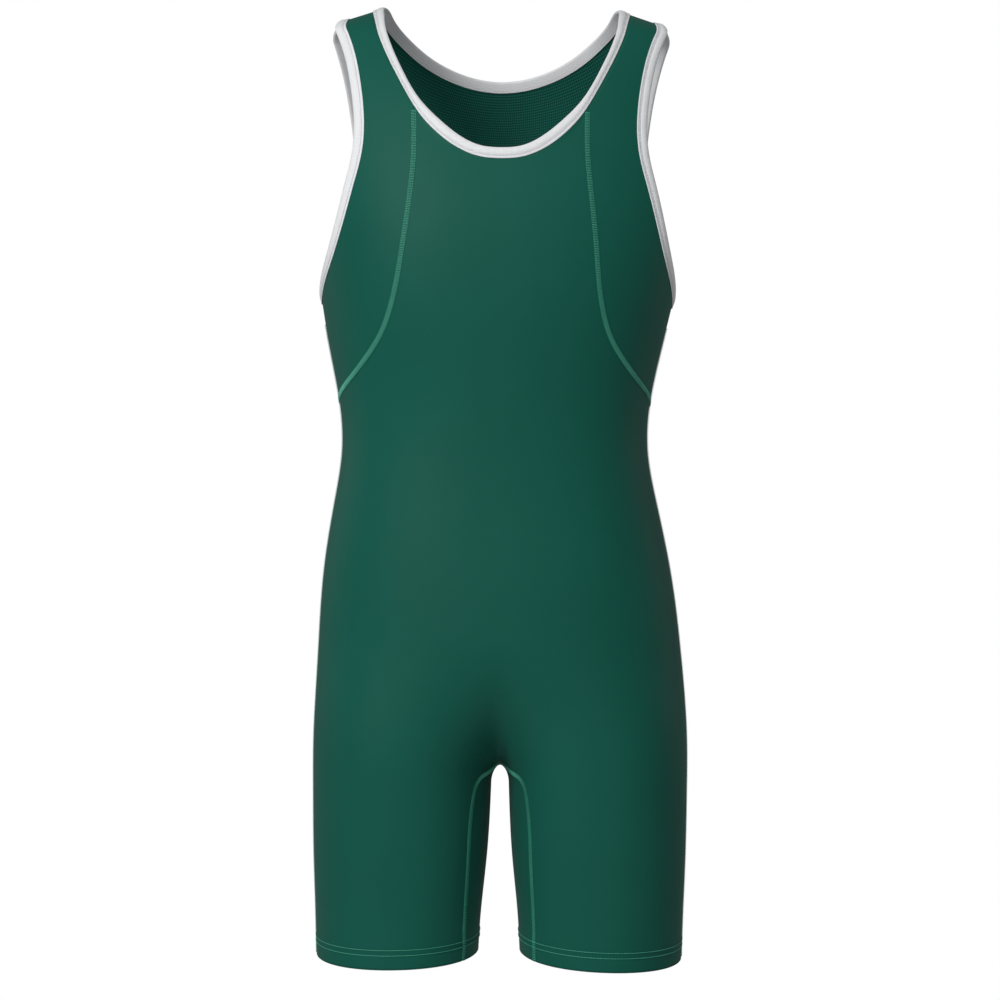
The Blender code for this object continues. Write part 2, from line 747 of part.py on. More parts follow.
def build():
    cuts = Cuts()
    front, side = front_grid(cuts), side_grid(cuts)
    outer, middle = back_grids(cuts)
    crotch = len(cuts.princess_rows) + len(cuts.hip_rows) - 1
    back_crotch = len(middle) - len(cuts.gusset_back)
    gusset = gusset_grid(cuts, front[crotch:, 0], middle[back_crotch:, 0])

    neck = slice(cuts.top, cuts.shoulder + 1)
    side_neck = np.stack([cuts.neck[neck], cuts.neck_inner[neck]])
    side_arm = np.stack([cuts.arm_front, cuts.arm_front_inner])
    back_neck = np.stack([cuts.neck[cuts.shoulder :], cuts.neck_inner[cuts.shoulder :]])
    back_arm = np.stack([cuts.arm_back, cuts.arm_back_inner])
    arm = np.concatenate([cuts.arm_front, cuts.arm_back[-2:0:-1]])
    arm_inner = np.concatenate([cuts.arm_front_inner, cuts.arm_back_inner[-2:0:-1]])
    bound = np.concatenate([cuts.neck, arm])
    around = [front[:, :-1], outer[:, ::-1][:, :-1], middle[:, ::-1][:, :-1], gusset[:, ::-1][:, :-1]]
    hem = np.concatenate([grid[-1] for grid in around])
    turned = np.concatenate([grid[-2] for grid in around])

    panel = Panel()
    panel.both(front)
    make_cloth("front_panel", panel, bound, hem)
    panel = Panel()
    for grid in (outer, middle, back_neck, back_arm):
        panel.both(grid)
    make_cloth("back_panel", panel, bound, hem)
    panel = Panel()
    panel.both(gusset)
    make_cloth("crotch_gusset", panel, bound, hem)
    for prefix, mirrored in (("left", False), ("right", True)):
        panel = Panel()
        for grid in (side, side_neck, side_arm):
            panel.add(grid, mirrored)
        make_cloth(prefix + "_side_front", panel, bound, hem)

    loop = np.concatenate([cuts.neck, cuts.neck[-2:0:-1] * (-1, 1, 1)])
    loop_inner = np.concatenate([cuts.neck_inner, cuts.neck_inner[-2:0:-1] * (-1, 1, 1)])
    make_object("neck_binding", *sweep(loop, loop_inner, binding_section()), WHITE, 0.7)
    for name, swept, colour, roughness in (
        ("armhole_binding", sweep(arm, arm_inner, binding_section()), WHITE, 0.7),
        ("hem_turnup", sweep(hem, turned, hem_section()), GREEN, 0.6),
    ):
        make_object("left_" + name, *swept, colour, roughness)
        make_object("right_" + name, *reflected(*swept), colour, roughness)


def main():
    for old in list(bpy.data.objects):
        bpy.data.objects.remove(old, do_unlink=True)
    build()


main()
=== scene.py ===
"""Looks of the wrestling singlet: knit panels, folded bindings, seams and stitches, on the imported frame.

Metres, +Z up, front facing -Y, +X the wearer's left. The cloth lies on one smooth form, and a
place on it is a pair (angle, rise), as explained at on_form.
"""

import math

import bpy
import numpy as np
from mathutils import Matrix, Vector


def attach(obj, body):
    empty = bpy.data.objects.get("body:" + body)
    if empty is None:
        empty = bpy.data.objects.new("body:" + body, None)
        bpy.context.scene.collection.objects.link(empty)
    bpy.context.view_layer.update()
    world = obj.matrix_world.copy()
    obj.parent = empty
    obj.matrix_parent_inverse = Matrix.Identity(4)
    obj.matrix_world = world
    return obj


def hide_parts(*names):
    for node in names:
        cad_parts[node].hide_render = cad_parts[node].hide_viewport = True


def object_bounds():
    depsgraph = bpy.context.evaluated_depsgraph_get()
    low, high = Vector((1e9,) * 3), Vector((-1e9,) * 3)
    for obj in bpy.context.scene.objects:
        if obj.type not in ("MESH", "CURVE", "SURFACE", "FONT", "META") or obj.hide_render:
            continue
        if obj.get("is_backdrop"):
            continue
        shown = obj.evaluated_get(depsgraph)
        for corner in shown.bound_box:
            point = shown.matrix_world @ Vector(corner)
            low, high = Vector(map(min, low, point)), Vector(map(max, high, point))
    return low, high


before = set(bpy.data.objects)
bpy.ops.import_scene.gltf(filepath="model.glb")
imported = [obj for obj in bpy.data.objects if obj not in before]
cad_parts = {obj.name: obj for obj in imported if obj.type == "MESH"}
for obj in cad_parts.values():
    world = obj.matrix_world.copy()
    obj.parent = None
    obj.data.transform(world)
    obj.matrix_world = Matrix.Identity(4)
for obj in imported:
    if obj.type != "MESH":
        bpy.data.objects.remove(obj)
cad_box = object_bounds()

# Cloth
CLOTH = 0.0012  # one layer of knit
SEAM_GAP = 0.0003  # left between neighbouring pieces
HEM_TURN = 0.019  # height of the turned-up hem
BINDING_WIDTH = 0.0105
BINDING_LAYER = 0.0008
BOUND_BACK = 0.0012  # the bound edge of a panel stops this far inside the binding's fold
HEM_BACK = CLOTH + SEAM_GAP  # and the hem edge this far above the fold of the turn-up

# Form
CHEST = -0.170  # height where the arc over the shoulders starts
ARC = 0.150
SHOULDER_TIP = 0.124  # half width of the form at height 0, where the shoulder slope crosses it
SHOULDER_SLOPE = 0.33
SHOULDER_ROUND = 0.014
LEG_OUT = 0.090  # each leg's centre line, away from the middle
LEGS_BLEND = (-0.560, -0.697)  # heights between which the trunk becomes two legs
CROTCH_ROUND = 0.006
TRUNK = (
    # height, half_width, front_depth, back_depth, squareness
    (0.030, 0.175, 0.028, 0.032, 2.20),
    (0.000, 0.176, 0.046, 0.050, 2.20),
    (-0.025, 0.177, 0.063, 0.068, 2.20),
    (-0.060, 0.179, 0.082, 0.089, 2.25),
    (-0.100, 0.180, 0.097, 0.104, 2.30),
    (-0.150, 0.177, 0.110, 0.112, 2.35),
    (-0.200, 0.171, 0.117, 0.112, 2.40),
    (-0.248, 0.162, 0.117, 0.107, 2.40),
    (-0.300, 0.1515, 0.111, 0.098, 2.35),
    (-0.350, 0.1415, 0.104, 0.090, 2.30),
    (-0.395, 0.139, 0.101, 0.088, 2.30),
    (-0.440, 0.146, 0.102, 0.095, 2.30),
    (-0.500, 0.157, 0.105, 0.110, 2.30),
    (-0.560, 0.1635, 0.107, 0.121, 2.30),
    (-0.620, 0.167, 0.106, 0.122, 2.30),
    (-0.680, 0.169, 0.104, 0.112, 2.30),
)
LEG = (
    # height, centre, half_width, front_depth, back_depth, squareness
    (-0.560, 0.084, 0.082, 0.107, 0.121, 2.20),
    (-0.600, 0.086, 0.082, 0.105, 0.121, 2.20),
    (-0.650, 0.089, 0.081, 0.100, 0.114, 2.20),
    (-0.700, 0.090, 0.080, 0.094, 0.104, 2.20),
    (-0.765, 0.091, 0.078, 0.087, 0.094, 2.15),
    (-0.820, 0.0925, 0.0745, 0.081, 0.084, 2.10),
    (-0.860, 0.093, 0.073, 0.079, 0.081, 2.10),
)

# Stance: the worn shape leans a little
SIDE_DROP = 0.0122  # fall of the wearer's left side, per metre across
SWAY = (
    # height, shift
    (-0.860, -0.0010),
    (-0.700, 0.0000),
    (-0.600, 0.0000),
    (-0.500, -0.0025),
    (-0.400, -0.0045),
    (-0.300, -0.0042),
    (-0.200, 0.0000),
    (-0.100, 0.0005),
    (0.020, 0.0018),
)

# Cut lines of the wearer's left half
NECK = (
    # angle, rise
    (0, 0.0540),
    (10, 0.0560),
    (20, 0.0660),
    (30, 0.0810),
    (40, 0.0970),
    (50, 0.1160),
    (60, 0.1320),
    (70, 0.1450),
    (84, 0.1535),
    (97, 0.1560),
    (110, 0.1530),
    (123, 0.1498),
    (138, 0.1475),
    (153, 0.1465),
    (167, 0.1460),
    (180, 0.1458),
)
SHOULDER_SEAM = 97  # just behind the ridge of the shoulder
ARMHOLE_FRONT = (
    # angle, rise
    (97, 0.1200),
    (88, 0.1245),
    (78, 0.1175),
    (70, 0.1040),
    (64, 0.0840),
    (60, 0.0580),
    (59, 0.0360),
    (60.5, 0.0080),
    (64, -0.0250),
    (69, -0.0500),
    (77, -0.0710),
    (88, -0.0840),
)
ARMHOLE_BACK = (
    # angle, rise
    (97, 0.1200),
    (105, 0.1090),
    (112, 0.0920),
    (117, 0.0700),
    (120, 0.0420),
    (120, 0.0110),
    (117, -0.0210),
    (110.5, -0.0500),
    (100.5, -0.0725),
    (88, -0.0840),
)
PRINCESS_TOP = 42.5
PRINCESS = (
    # angle, rise (below the neck edge)
    (39.8, 0.0760),
    (37.7, 0.0470),
    (36.9, 0.0140),
    (37.2, -0.0170),
    (38.4, -0.0480),
    (40.4, -0.0780),
    (43.0, -0.1000),
    (46.3, -0.1180),
    (50.7, -0.1330),
    (56.2, -0.1460),
    (63.5, -0.1590),
    (74.5, -0.1720),
    (88.0, -0.1820),
)
SIDE_SEAM = (
    # angle, rise
    (88.0, -0.0840),
    (88.0, -0.1820),
    (89.0, -0.2600),
    (90.0, -0.4000),
    (90.0, -0.6900),
)
CROTCH_FRONT, CROTCH_BACK = -0.5090, -0.5025  # rises on the middle line
GUSSET_FRONT = (
    # angle, rise
    (-71.0, -0.5140),
    (-62.0, -0.5170),
    (-55.0, -0.5200),
    (-50.5, -0.5270),
    (-48.5, -0.5370),
    (-47.0, -0.5570),
    (-48.0, -0.6000),
    (-50.0, -0.6500),
    (-51.0, -0.6900),
)
GUSSET_BACK = (
    # angle, rise
    (245.0, -0.5085),
    (238.0, -0.5150),
    (233.0, -0.5240),
    (230.5, -0.5370),
    (229.5, -0.5570),
    (229.5, -0.6000),
    (229.0, -0.6500),
    (228.0, -0.6900),
)
BACK_GUIDE = (
    # angle, rise: a line down the back panel that steers its rows
    (138, 0.1475),
    (143, 0.1000),
    (147, 0.0200),
    (150, -0.1000),
    (150, -0.3000),
    (152, -0.4200),
    (160, -0.5150),
    (162, -0.6900),
)
HEM_HEIGHT, HEM_DIP, HEM_DIP_AT = -0.852, 0.0075, 20  # lowest in front of each leg

# Mesh
FRONT_COLUMNS, SIDE_COLUMNS, BACK_COLUMNS, STRAP_COLUMNS, GUSSET_COLUMNS = 40, 20, 20, 20, 20
NECK_SIDE_STEPS, NECK_BACK_STEPS, NECK_FADE = 36, 24, 40
PRINCESS_STEPS, ARMHOLE_STEPS, FLANK_STEPS, HIP_STEPS = 84, 90, 30, 120
LEG_SHARES = (0, 0.02, 0.045, 0.08, 0.13, 0.20, 0.29, 0.39, 0.50, 0.61, 0.73, 0.86, 1)
LEG_STEPS = np.interp(np.linspace(0, 12, 73), range(13), LEG_SHARES)
STRIP = 0.011  # width of the strip of cloth that the binding covers
PRINCESS_FALL = 0.0145  # the same strip, measured down the slanting princess seam
SLIDE = 26  # points of the neck's inner line that spread out the step at the princess seam
GAP_CENTRE = -0.705  # height in the gap between the legs that the gusset's rows fan about
SHARP_ANGLE = math.radians(52)  # a crease sharper than this is not shaded smooth

# Thread: lengths, pitches and radii
SEAM_WIDTH, SEAM_PITCH, SEAM_THREAD = 0.0044, 0.0015, 0.00042
STITCH_THREAD, STITCH_BOW, STITCH_SHARE = SEAM_THREAD * 0.75, SEAM_THREAD * 1.2, 0.86
HEM_LINE, HEM_PITCH, HEM_LINES_APART, HEM_LIFT = 0.0178, 0.0030, 0.0048, 0.0002
BINDING_STITCH, BINDING_PITCH = 0.0078, 0.0030
BINDING_LIFT = SEAM_GAP + BINDING_LAYER * 0.5

# Knit and thread: pitches of the loops across and along, and linear colours
FACE_LOOP, BACK_LOOP, BACK_SLANT, RIB = (0.0011, 0.0009), (0.0027, 0.0026), 0.15, 0.0012
GREEN, DEEP_GREEN = (0.0085, 0.108, 0.078, 1), (0.0050, 0.070, 0.050, 1)
INSIDE_GREEN, INSIDE_DEEP_GREEN = (0.016, 0.140, 0.105, 1), (0.004, 0.045, 0.034, 1)
THREAD_GREEN, THREAD_DEEP_GREEN = (0.050, 0.370, 0.250, 1), (0.030, 0.250, 0.170, 1)
WHITE, SHADED_WHITE = (0.86, 0.87, 0.88, 1), (0.60, 0.61, 0.63, 1)
THREAD_WHITE, THREAD_SHADED_WHITE = (0.80, 0.81, 0.83, 1), (0.55, 0.56, 0.58, 1)
FLOOR_COLOUR = (0.86, 0.86, 0.86, 1)

# Camera, light and floor
VIEW_DISTANCE, VIEW_HEIGHT, VIEW_WIDTH = 2.90, -0.4405, 0.912
SENSOR = 36.0
LIGHTS = (
    # name, place, height it is aimed at, size, power
    ("key", (-1.5, -2.4, 0.8), VIEW_HEIGHT, 1.1, 66),
    ("front fill", (0.5, -3.2, -0.2), VIEW_HEIGHT, 1.6, 8),
    ("left rim", (-1.8, 0.8, 0.0), VIEW_HEIGHT, 1.0, 3),
    ("right rim", (1.9, 0.7, -0.2), VIEW_HEIGHT, 1.0, 3),
    ("high front", (0.1, -1.6, 1.5), -0.05, 0.7, 9),
)
ROOM_LIGHT, SHOWN_BACKGROUND = 0.16, 1.0
FLOOR_REACH, FLOOR_BELOW = 1.2, 0.45


def spline(keys, values):
    """The natural cubic through a table's rows, as a function that runs straight past its ends."""
    keys, values = np.asarray(keys, float), np.asarray(values, float)
    order = np.argsort(keys)
    keys, values = keys[order], values[order]
    step, rise = np.diff(keys), np.diff(values)
    count = len(keys)
    left, right = np.eye(count), np.zeros(count)
    for i in range(1, count - 1):
        left[i, i - 1 : i + 2] = step[i - 1], 2 * (step[i - 1] + step[i]), step[i]
        right[i] = 6 * (rise[i] / step[i] - rise[i - 1] / step[i - 1])
    bend = np.linalg.solve(left, right)
    first = rise[0] / step[0] - step[0] * bend[1] / 6
    last = rise[-1] / step[-1] + step[-1] * bend[-2] / 6

    def value(at):
        at = np.asarray(at, float)
        inside = np.clip(at, keys[0], keys[-1])
        i = np.clip(np.searchsorted(keys, inside) - 1, 0, count - 2)
        before, after, gap = keys[i + 1] - inside, inside - keys[i], step[i]
        curve = (bend[i] * before**3 + bend[i + 1] * after**3) / (6 * gap)
        curve += (values[i] / gap - bend[i] * gap / 6) * before
        curve += (values[i + 1] / gap - bend[i + 1] * gap / 6) * after
        return curve + np.minimum(at - keys[0], 0) * first + np.maximum(at - keys[-1], 0) * last

    return value


def columns_of(table):
    """Each column after the first as a quick function of the first, from 1 mm samples."""
    rows = np.array(table)
    heights = np.arange(-0.95, 0.25, 0.001)
    sampled = [spline(rows[:, 0], rows[:, k])(heights) for k in range(1, rows.shape[1])]
    return lambda height: [np.interp(height, heights, column) for column in sampled]


trunk_at, leg_at, sway_at = columns_of(TRUNK), columns_of(LEG), columns_of(SWAY)


def eased(x):
    x = np.clip(x, 0, 1)
    return x * x * (3 - 2 * x)


def rounded_min(a, b, width):
    """The smaller of two values, with the corner between them rounded."""
    mix = np.clip(0.5 + 0.5 * (b - a) / width, 0, 1)
    return b * (1 - mix) + a * mix - width * mix * (1 - mix)


def oval(x, y, half_width, front, back, squareness):
    depth = np.where(y < 0, front, back)
    inside = np.abs(x / half_width) ** squareness + np.abs(y / depth) ** squareness
    return inside ** (1 / squareness)


def form(points):
    """Under 0 inside the form, over 0 outside it, roughly in metres."""
    x, y, height = points[..., 0], points[..., 1], points[..., 2]
    half_width, front, back, squareness = trunk_at(height)
    slope = SHOULDER_TIP - height / SHOULDER_SLOPE
    half_width = np.maximum(rounded_min(half_width, slope, SHOULDER_ROUND), 0.005)
    front, back = np.maximum(front, 0.008), np.maximum(back, 0.008)
    trunk = 0.10 * (oval(x, y, half_width, front, back, squareness) - 1)
    centre, *leg = leg_at(np.clip(height, -0.90, -0.56))
    out = np.sqrt(x * x + CROTCH_ROUND**2)
    legs = 0.08 * (oval(out - centre, y, *leg) - 1)
    split = eased((height - LEGS_BLEND[0]) / (LEGS_BLEND[1] - LEGS_BLEND[0]))
    return (1 - split) * trunk + split * legs


def outward(points):
    """Unit normals of the form."""
    slope = np.empty(points.shape)
    for axis in range(3):
        nudge = np.zeros(3)
        nudge[axis] = 5e-5
        slope[..., axis] = form(points + nudge) - form(points - nudge)
    return slope / np.linalg.norm(slope, axis=-1, keepdims=True)


def cast(start, direction, far, leaving=True):
    """Where rays from inside leave the form or, with leaving False, where they enter it."""
    low, high = np.zeros(start.shape[:-1]), np.broadcast_to(far, start.shape[:-1])
    for _ in range(30):
        middle = (low + high) / 2
        inside = form(start + direction * middle[..., None]) < 0
        on = inside if leaving else ~inside
        low, high = np.where(on, middle, low), np.where(on, high, middle)
    return start + direction * low[..., None]


def leg_shift(height):
    """How far the axis that the angles turn about has moved towards the leg."""
    return LEG_OUT * eased((-0.45 - height) / 0.21)


def on_form(places):
    """Points for an array of (angle, rise) pairs."""
    angle, rise = np.radians(places[..., 0]), places[..., 1]
    height, lift = CHEST + np.minimum(rise, 0), np.maximum(rise, 0) / ARC
    shift = leg_shift(height)
    start = np.stack([shift, 0 * rise, height], -1)
    flat = np.cos(lift)
    direction = np.stack([np.sin(angle) * flat, -np.cos(angle) * flat, np.sin(lift)], -1)
    inward = direction[..., 0] < -1e-6
    to_middle = shift / np.where(inward, -direction[..., 0], 1)
    return cast(start, direction, np.where(inward & (shift > 0.001), np.minimum(0.26, to_middle), 0.26))


def places_of(points):
    """The (angle, rise) pairs of points, the reverse of on_form. Angles run from -90 to 270."""
    x, y, height = points[..., 0], points[..., 1], points[..., 2]
    lift = ARC * np.arctan2(height - CHEST, np.hypot(x, y))
    rise = np.where(height > CHEST, lift, height - CHEST)
    angle = np.degrees(np.arctan2(x - leg_shift(np.minimum(height, CHEST)), -y))
    return np.stack([np.where(angle < -90, angle + 360, angle), rise], -1)


def on_middle(rises, back=False):
    """Points of the middle line, front or back, at these rises."""
    rises = np.asarray(rises, float)
    upper = on_form(np.stack([np.full(rises.shape, 180.0 if back else 0.0), rises], -1))
    side = 1 if back else -1
    start = np.stack([0 * rises, 0 * rises + side * 0.20, CHEST + rises], -1)
    lower = cast(start, np.array([0, -side, 0.0]), 0.20, leaving=False)
    points = np.where((rises > -0.2)[..., None], upper, lower)
    points[..., 0] = 0
    return points


def line(table, first=0, last=None):
    """A smooth line through the rows of a table, as many close (angle, rise) samples.

    The line starts at row first and ends at row last. Rows outside them only steer its ends.
    """
    rows = np.array(table, float)
    metres = rows * (math.radians(1) * ARC, 1)
    along = np.append(0, np.cumsum(np.linalg.norm(np.diff(metres, axis=0), axis=1)))
    fine = np.linspace(along[first], along[-1 if last is None else last], 800)
    return np.stack([spline(along, rows[:, 0])(fine), spline(along, rows[:, 1])(fine)], -1)


def spaced(samples, steps):
    """Places along a line, at even steps or at the given shares of its length."""
    points = on_form(samples)
    along = np.append(0, np.cumsum(np.linalg.norm(np.diff(points, axis=0), axis=1)))
    shares = np.linspace(0, 1, steps + 1) if np.isscalar(steps) else np.asarray(steps)
    at = shares * along[-1]
    return np.stack([np.interp(at, along, samples[:, k]) for k in (0, 1)], -1)


def at_rises(samples, rises):
    """Places of a falling line at these rises."""
    return np.stack([np.interp(-rises, -samples[:, 1], samples[:, 0]), rises], -1)


def hem_rise(angle):
    return HEM_HEIGHT - CHEST - HEM_DIP * np.cos(np.radians(np.asarray(angle) - HEM_DIP_AT))


def ruled(left, right, shares):
    """Rows of places from each left one to the right one of the same row."""
    shares = np.asarray(shares)[None, :, None]
    return left[:, None] * (1 - shares) + right[:, None] * shares


def inner_line(edge):
    """The line on the form that runs STRIP inside a closed edge, with the opening on its left."""
    run = np.roll(edge, -1, axis=0) - np.roll(edge, 1, axis=0)
    across = np.cross(run, outward(edge))
    across /= np.linalg.norm(across, axis=-1, keepdims=True)
    moved = edge + across * STRIP
    for _ in range(3):
        up = outward(moved)
        moved = cast(moved - up * 0.01, up, 0.02)
    return moved


MIRROR = np.array([-1, 1, 1])


def side_of(points):
    """What multiplies each point to bring it to the wearer's left."""
    return np.where(points[:, :1] < 0, MIRROR, 1)


class Panel:
    """Cloth built up from grids of points, where equal points are one."""

    def __init__(self):
        self.points, self.known, self.triangles, self.grids = [], {}, [], []

    def index(self, point):
        key = tuple(np.round(point, 6) + 0.0)
        if key not in self.known:
            self.known[key] = len(self.points)
            self.points.append(np.array(point, float))
        return self.known[key]

    def add(self, grid, mirrored=False):
        """Adds a grid, or its reflection in the middle plane."""
        grid = np.array(grid, float)
        grid[np.abs(grid[..., 0]) < 1e-6, 0] = 0
        ids = np.array([[self.index(p * (MIRROR if mirrored else 1)) for p in row] for row in grid])
        for i in range(len(ids) - 1):
            for j in range(len(ids[0]) - 1):
                a, b, c, d = ids[i, j], ids[i, j + 1], ids[i + 1, j + 1], ids[i + 1, j]
                short = np.linalg.norm(grid[i, j] - grid[i + 1, j + 1])
                other = np.linalg.norm(grid[i, j + 1] - grid[i + 1, j])
                pair = ((a, b, c), (a, c, d)) if short <= other else ((a, b, d), (b, c, d))
                self.triangles += [t for t in pair if len(set(t)) == 3]
        self.grids.append(len(self.triangles))

    def both(self, grid):
        self.add(grid)
        self.add(grid, mirrored=True)

    def finish(self, bound, hem):
        """(points, normals, triangles) with every edge drawn back from its seam or fold line.

        bound and hem are the points of the bound edges and of the hem, on the wearer's left.
        """
        points = np.array(self.points)
        mirror = side_of(points)
        normals = outward(points * mirror) * mirror
        triangles = np.array(self.triangles)
        corners = points[triangles]
        facing = np.cross(corners[:, 1] - corners[:, 0], corners[:, 2] - corners[:, 0])
        outer = (facing * normals[triangles].sum(1)).sum(1)
        for first, last in zip([0] + self.grids, self.grids):
            if outer[first:last].sum() < 0:
                triangles[first:last] = triangles[first:last, ::-1]
        keys = {"bound": self.keys(bound), "hem": self.keys(hem)}
        moved = points.copy()
        for vertex, sides in self.border(triangles).items():
            rows, wanted = [normals[vertex]], [0.0]
            for end in sides:
                pair = {self.key(points[vertex]), self.key(points[end])}
                back = SEAM_GAP / 2
                if pair <= keys["bound"]:
                    back = BOUND_BACK
                elif pair <= keys["hem"]:
                    back = HEM_BACK
                run = points[end] - points[vertex]
                inward = np.cross(normals[vertex], run if sides[end] else -run)
                rows.append(inward / np.linalg.norm(inward))
                wanted.append(back)
            rows, wanted = np.array(rows), np.array(wanted)
            moved[vertex] += np.linalg.lstsq(rows, wanted, rcond=0.15)[0]
        return moved, normals, triangles

    @staticmethod
    def key(point):
        return tuple(np.round(np.abs(point) * (1, 0, 1) + point * (0, 1, 0), 5) + 0.0)

    def keys(self, points):
        return {self.key(p) for p in points}

    @staticmethod
    def border(triangles):
        """For each border vertex, its two border neighbours, and whether the border runs to them."""
        runs = {(t[k], t[(k + 1) % 3]) for t in triangles.tolist() for k in range(3)}
        ends = {}
        for a, b in runs:
            if (b, a) not in runs:
                ends.setdefault(a, {})[b] = True
                ends.setdefault(b, {})[a] = False
        return ends


def stance(points):
    """The lean and sway of the worn shape."""
    moved = points.copy()
    moved[..., 0] += sway_at(points[..., 2])[0]
    moved[..., 2] -= SIDE_DROP * points[..., 0]
    return moved


def sweep(edge, inner, section):
    """Sweeps a closed section round a closed edge.

    Each section point is (share, lift): its share of the way from the edge to the inner line,
    and its height above the cloth's outer face.
    """
    section = np.array(section)
    edge_up, inner_up = outward(edge), outward(inner)
    share, lift = section[:, 0][None, :, None], section[:, 1][None, :, None]
    rings = edge[:, None] * (1 - share) + inner[:, None] * share
    rings = rings + lift * (edge_up[:, None] * (1 - share) + inner_up[:, None] * share)
    steps, around = rings.shape[:2]
    faces = []
    for i in range(steps):
        k = (i + 1) % steps
        falling = np.linalg.norm(edge[i] - inner[k]) <= np.linalg.norm(edge[k] - inner[i])
        for j in range(around):
            m = (j + 1) % around
            a, b, c, d = i * around + j, i * around + m, k * around + m, k * around + j
            outwards = section[j, 0] < section[m, 0]
            faces += [(a, b, c), (a, c, d)] if outwards == falling else [(a, b, d), (b, c, d)]
    points, faces = rings.reshape(-1, 3), np.array(faces)
    corners = points[faces]
    volume = (np.cross(corners[:, 0], corners[:, 1]) * corners[:, 2]).sum()
    return points, faces if volume > 0 else faces[:, ::-1]


def reflected(points, faces):
    return points * MIRROR, faces[:, ::-1]


def hem_section():
    """The turned-up layer and its fold under the cloth's edge, as shares of HEM_TURN and lifts."""
    inner, deep = -CLOTH - SEAM_GAP, -2 * CLOTH - SEAM_GAP
    outline = (
        (HEM_TURN * 0.985, inner),
        (HEM_TURN * 0.985, deep),
        (0.0004, deep),
        (0.0, deep + 0.0005),
        (0.0, -0.0004),
        (0.0004, 0.0),
        (CLOTH, 0.0),
        (CLOTH, inner),
    )
    return [(across / HEM_TURN, lift) for across, lift in outline]


def middle_places(rises, back=False):
    return places_of(on_middle(rises, back))


class Cuts:
    """The nodes of every cut line, for the wearer's left half.

    neck and arm_* are points of the edges, with *_inner the line under the binding's far side.
    The rows are places down the long seams.
    """

    def __init__(self):
        self.cut_neck()
        side = line(SIDE_SEAM)
        armpit, tip = ARMHOLE_FRONT[-1][1], SIDE_SEAM[1][1]
        self.cut_armhole(armpit)
        down = at_rises(self.princess, np.array([self.neck_place(PRINCESS_TOP)[1] - PRINCESS_FALL]))
        slid = on_form(down)[0] - self.neck_inner[self.top]
        for step in range(-SLIDE, SLIDE + 1):
            self.neck_inner[self.top + step] += slid * eased(1 - abs(step) / SLIDE)
        below = self.princess[self.princess[:, 1] < down[0, 1]]
        self.princess_rows = spaced(np.concatenate([down, below]), PRINCESS_STEPS)
        self.flank_rows = at_rises(side, np.linspace(armpit - STRIP, tip, FLANK_STEPS + 1))
        self.hip_rows = at_rises(side, np.linspace(tip, CROTCH_FRONT, HIP_STEPS + 1))
        lowest = float(hem_rise(90))
        falls = np.linspace(CROTCH_FRONT, lowest + HEM_TURN, len(LEG_STEPS))
        self.leg_rows = at_rises(side, np.append(falls, lowest))
        self.gusset_front = self.gusset_seam(GUSSET_FRONT, CROTCH_FRONT, False)
        self.gusset_back = self.gusset_seam(GUSSET_BACK, CROTCH_BACK, True)

    def neck_place(self, angle):
        mirrored = [(-a, r) for a, r in NECK[:0:-1]]
        rise = spline(*np.array(mirrored + list(NECK)).T)
        return np.stack([np.asarray(angle, float), rise(angle)], -1)

    def cut_neck(self):
        stops = (0, PRINCESS_TOP, SHOULDER_SEAM, BACK_GUIDE[0][0], 180)
        steps = (FRONT_COLUMNS, NECK_SIDE_STEPS, NECK_BACK_STEPS, BACK_COLUMNS)
        angles = [0.0]
        for first, last, count in zip(stops, stops[1:], steps):
            angles += list(np.linspace(first, last, count + 1)[1:])
        self.top, self.shoulder, self.guide = np.cumsum(steps[:3])
        self.neck = on_form(self.neck_place(angles))
        self.neck[[0, -1], 0] = 0
        loop = np.concatenate([self.neck, self.neck[-2:0:-1] * MIRROR])
        self.neck_inner = inner_line(loop)[: len(self.neck)]
        self.neck_inner[[0, -1], 0] = 0
        self.neck_inner[self.shoulder] = self.on_shoulder_seam(self.neck_inner[self.shoulder])
        top = [tuple(self.neck_place(PRINCESS_TOP))]
        self.princess = line(top + list(PRINCESS))

    def on_shoulder_seam(self, point):
        return on_form(np.array([SHOULDER_SEAM, places_of(point)[1]]))

    def cut_armhole(self, armpit):
        rows = ARMHOLE_BACK[3:0:-1] + ARMHOLE_FRONT + ARMHOLE_BACK[-2:-5:-1]
        front = on_form(spaced(line(rows, 3, 2 + len(ARMHOLE_FRONT)), ARMHOLE_STEPS))
        rows = ARMHOLE_FRONT[3:0:-1] + ARMHOLE_BACK + ARMHOLE_FRONT[-2:-5:-1]
        back = on_form(spaced(line(rows, 3, 2 + len(ARMHOLE_BACK)), ARMHOLE_STEPS))
        inner = inner_line(np.concatenate([front, back[-2:0:-1]]))
        inner[0] = self.on_shoulder_seam(inner[0])
        inner[ARMHOLE_STEPS] = on_form(np.array([SIDE_SEAM[0][0], armpit - STRIP]))
        self.arm_front, self.arm_front_inner = front, inner[: ARMHOLE_STEPS + 1]
        self.arm_back = back
        self.arm_back_inner = np.concatenate([inner[:1], inner[: ARMHOLE_STEPS - 1 : -1]])

    def gusset_seam(self, table, crotch, back):
        """Places of a gusset seam from the crotch down to the hem, a row for each row of the legs."""
        seam = line([tuple(middle_places(np.array([crotch]), back)[0])] + list(table))
        angle = seam[-1, 0]
        hem = float(hem_rise(angle))
        rows = spaced(seam[seam[:, 1] > hem + HEM_TURN], LEG_STEPS)
        rows[-1] = angle, hem + HEM_TURN
        return np.concatenate([rows, [[angle, hem]]])


def with_hem(places):
    """Sets the last two rows of a leg's places at the hem and at the top of its turn-up."""
    places[-1, :, 1] = hem_rise(places[-1, :, 0])
    places[-2] = places[-1] + (0, HEM_TURN)
    return places


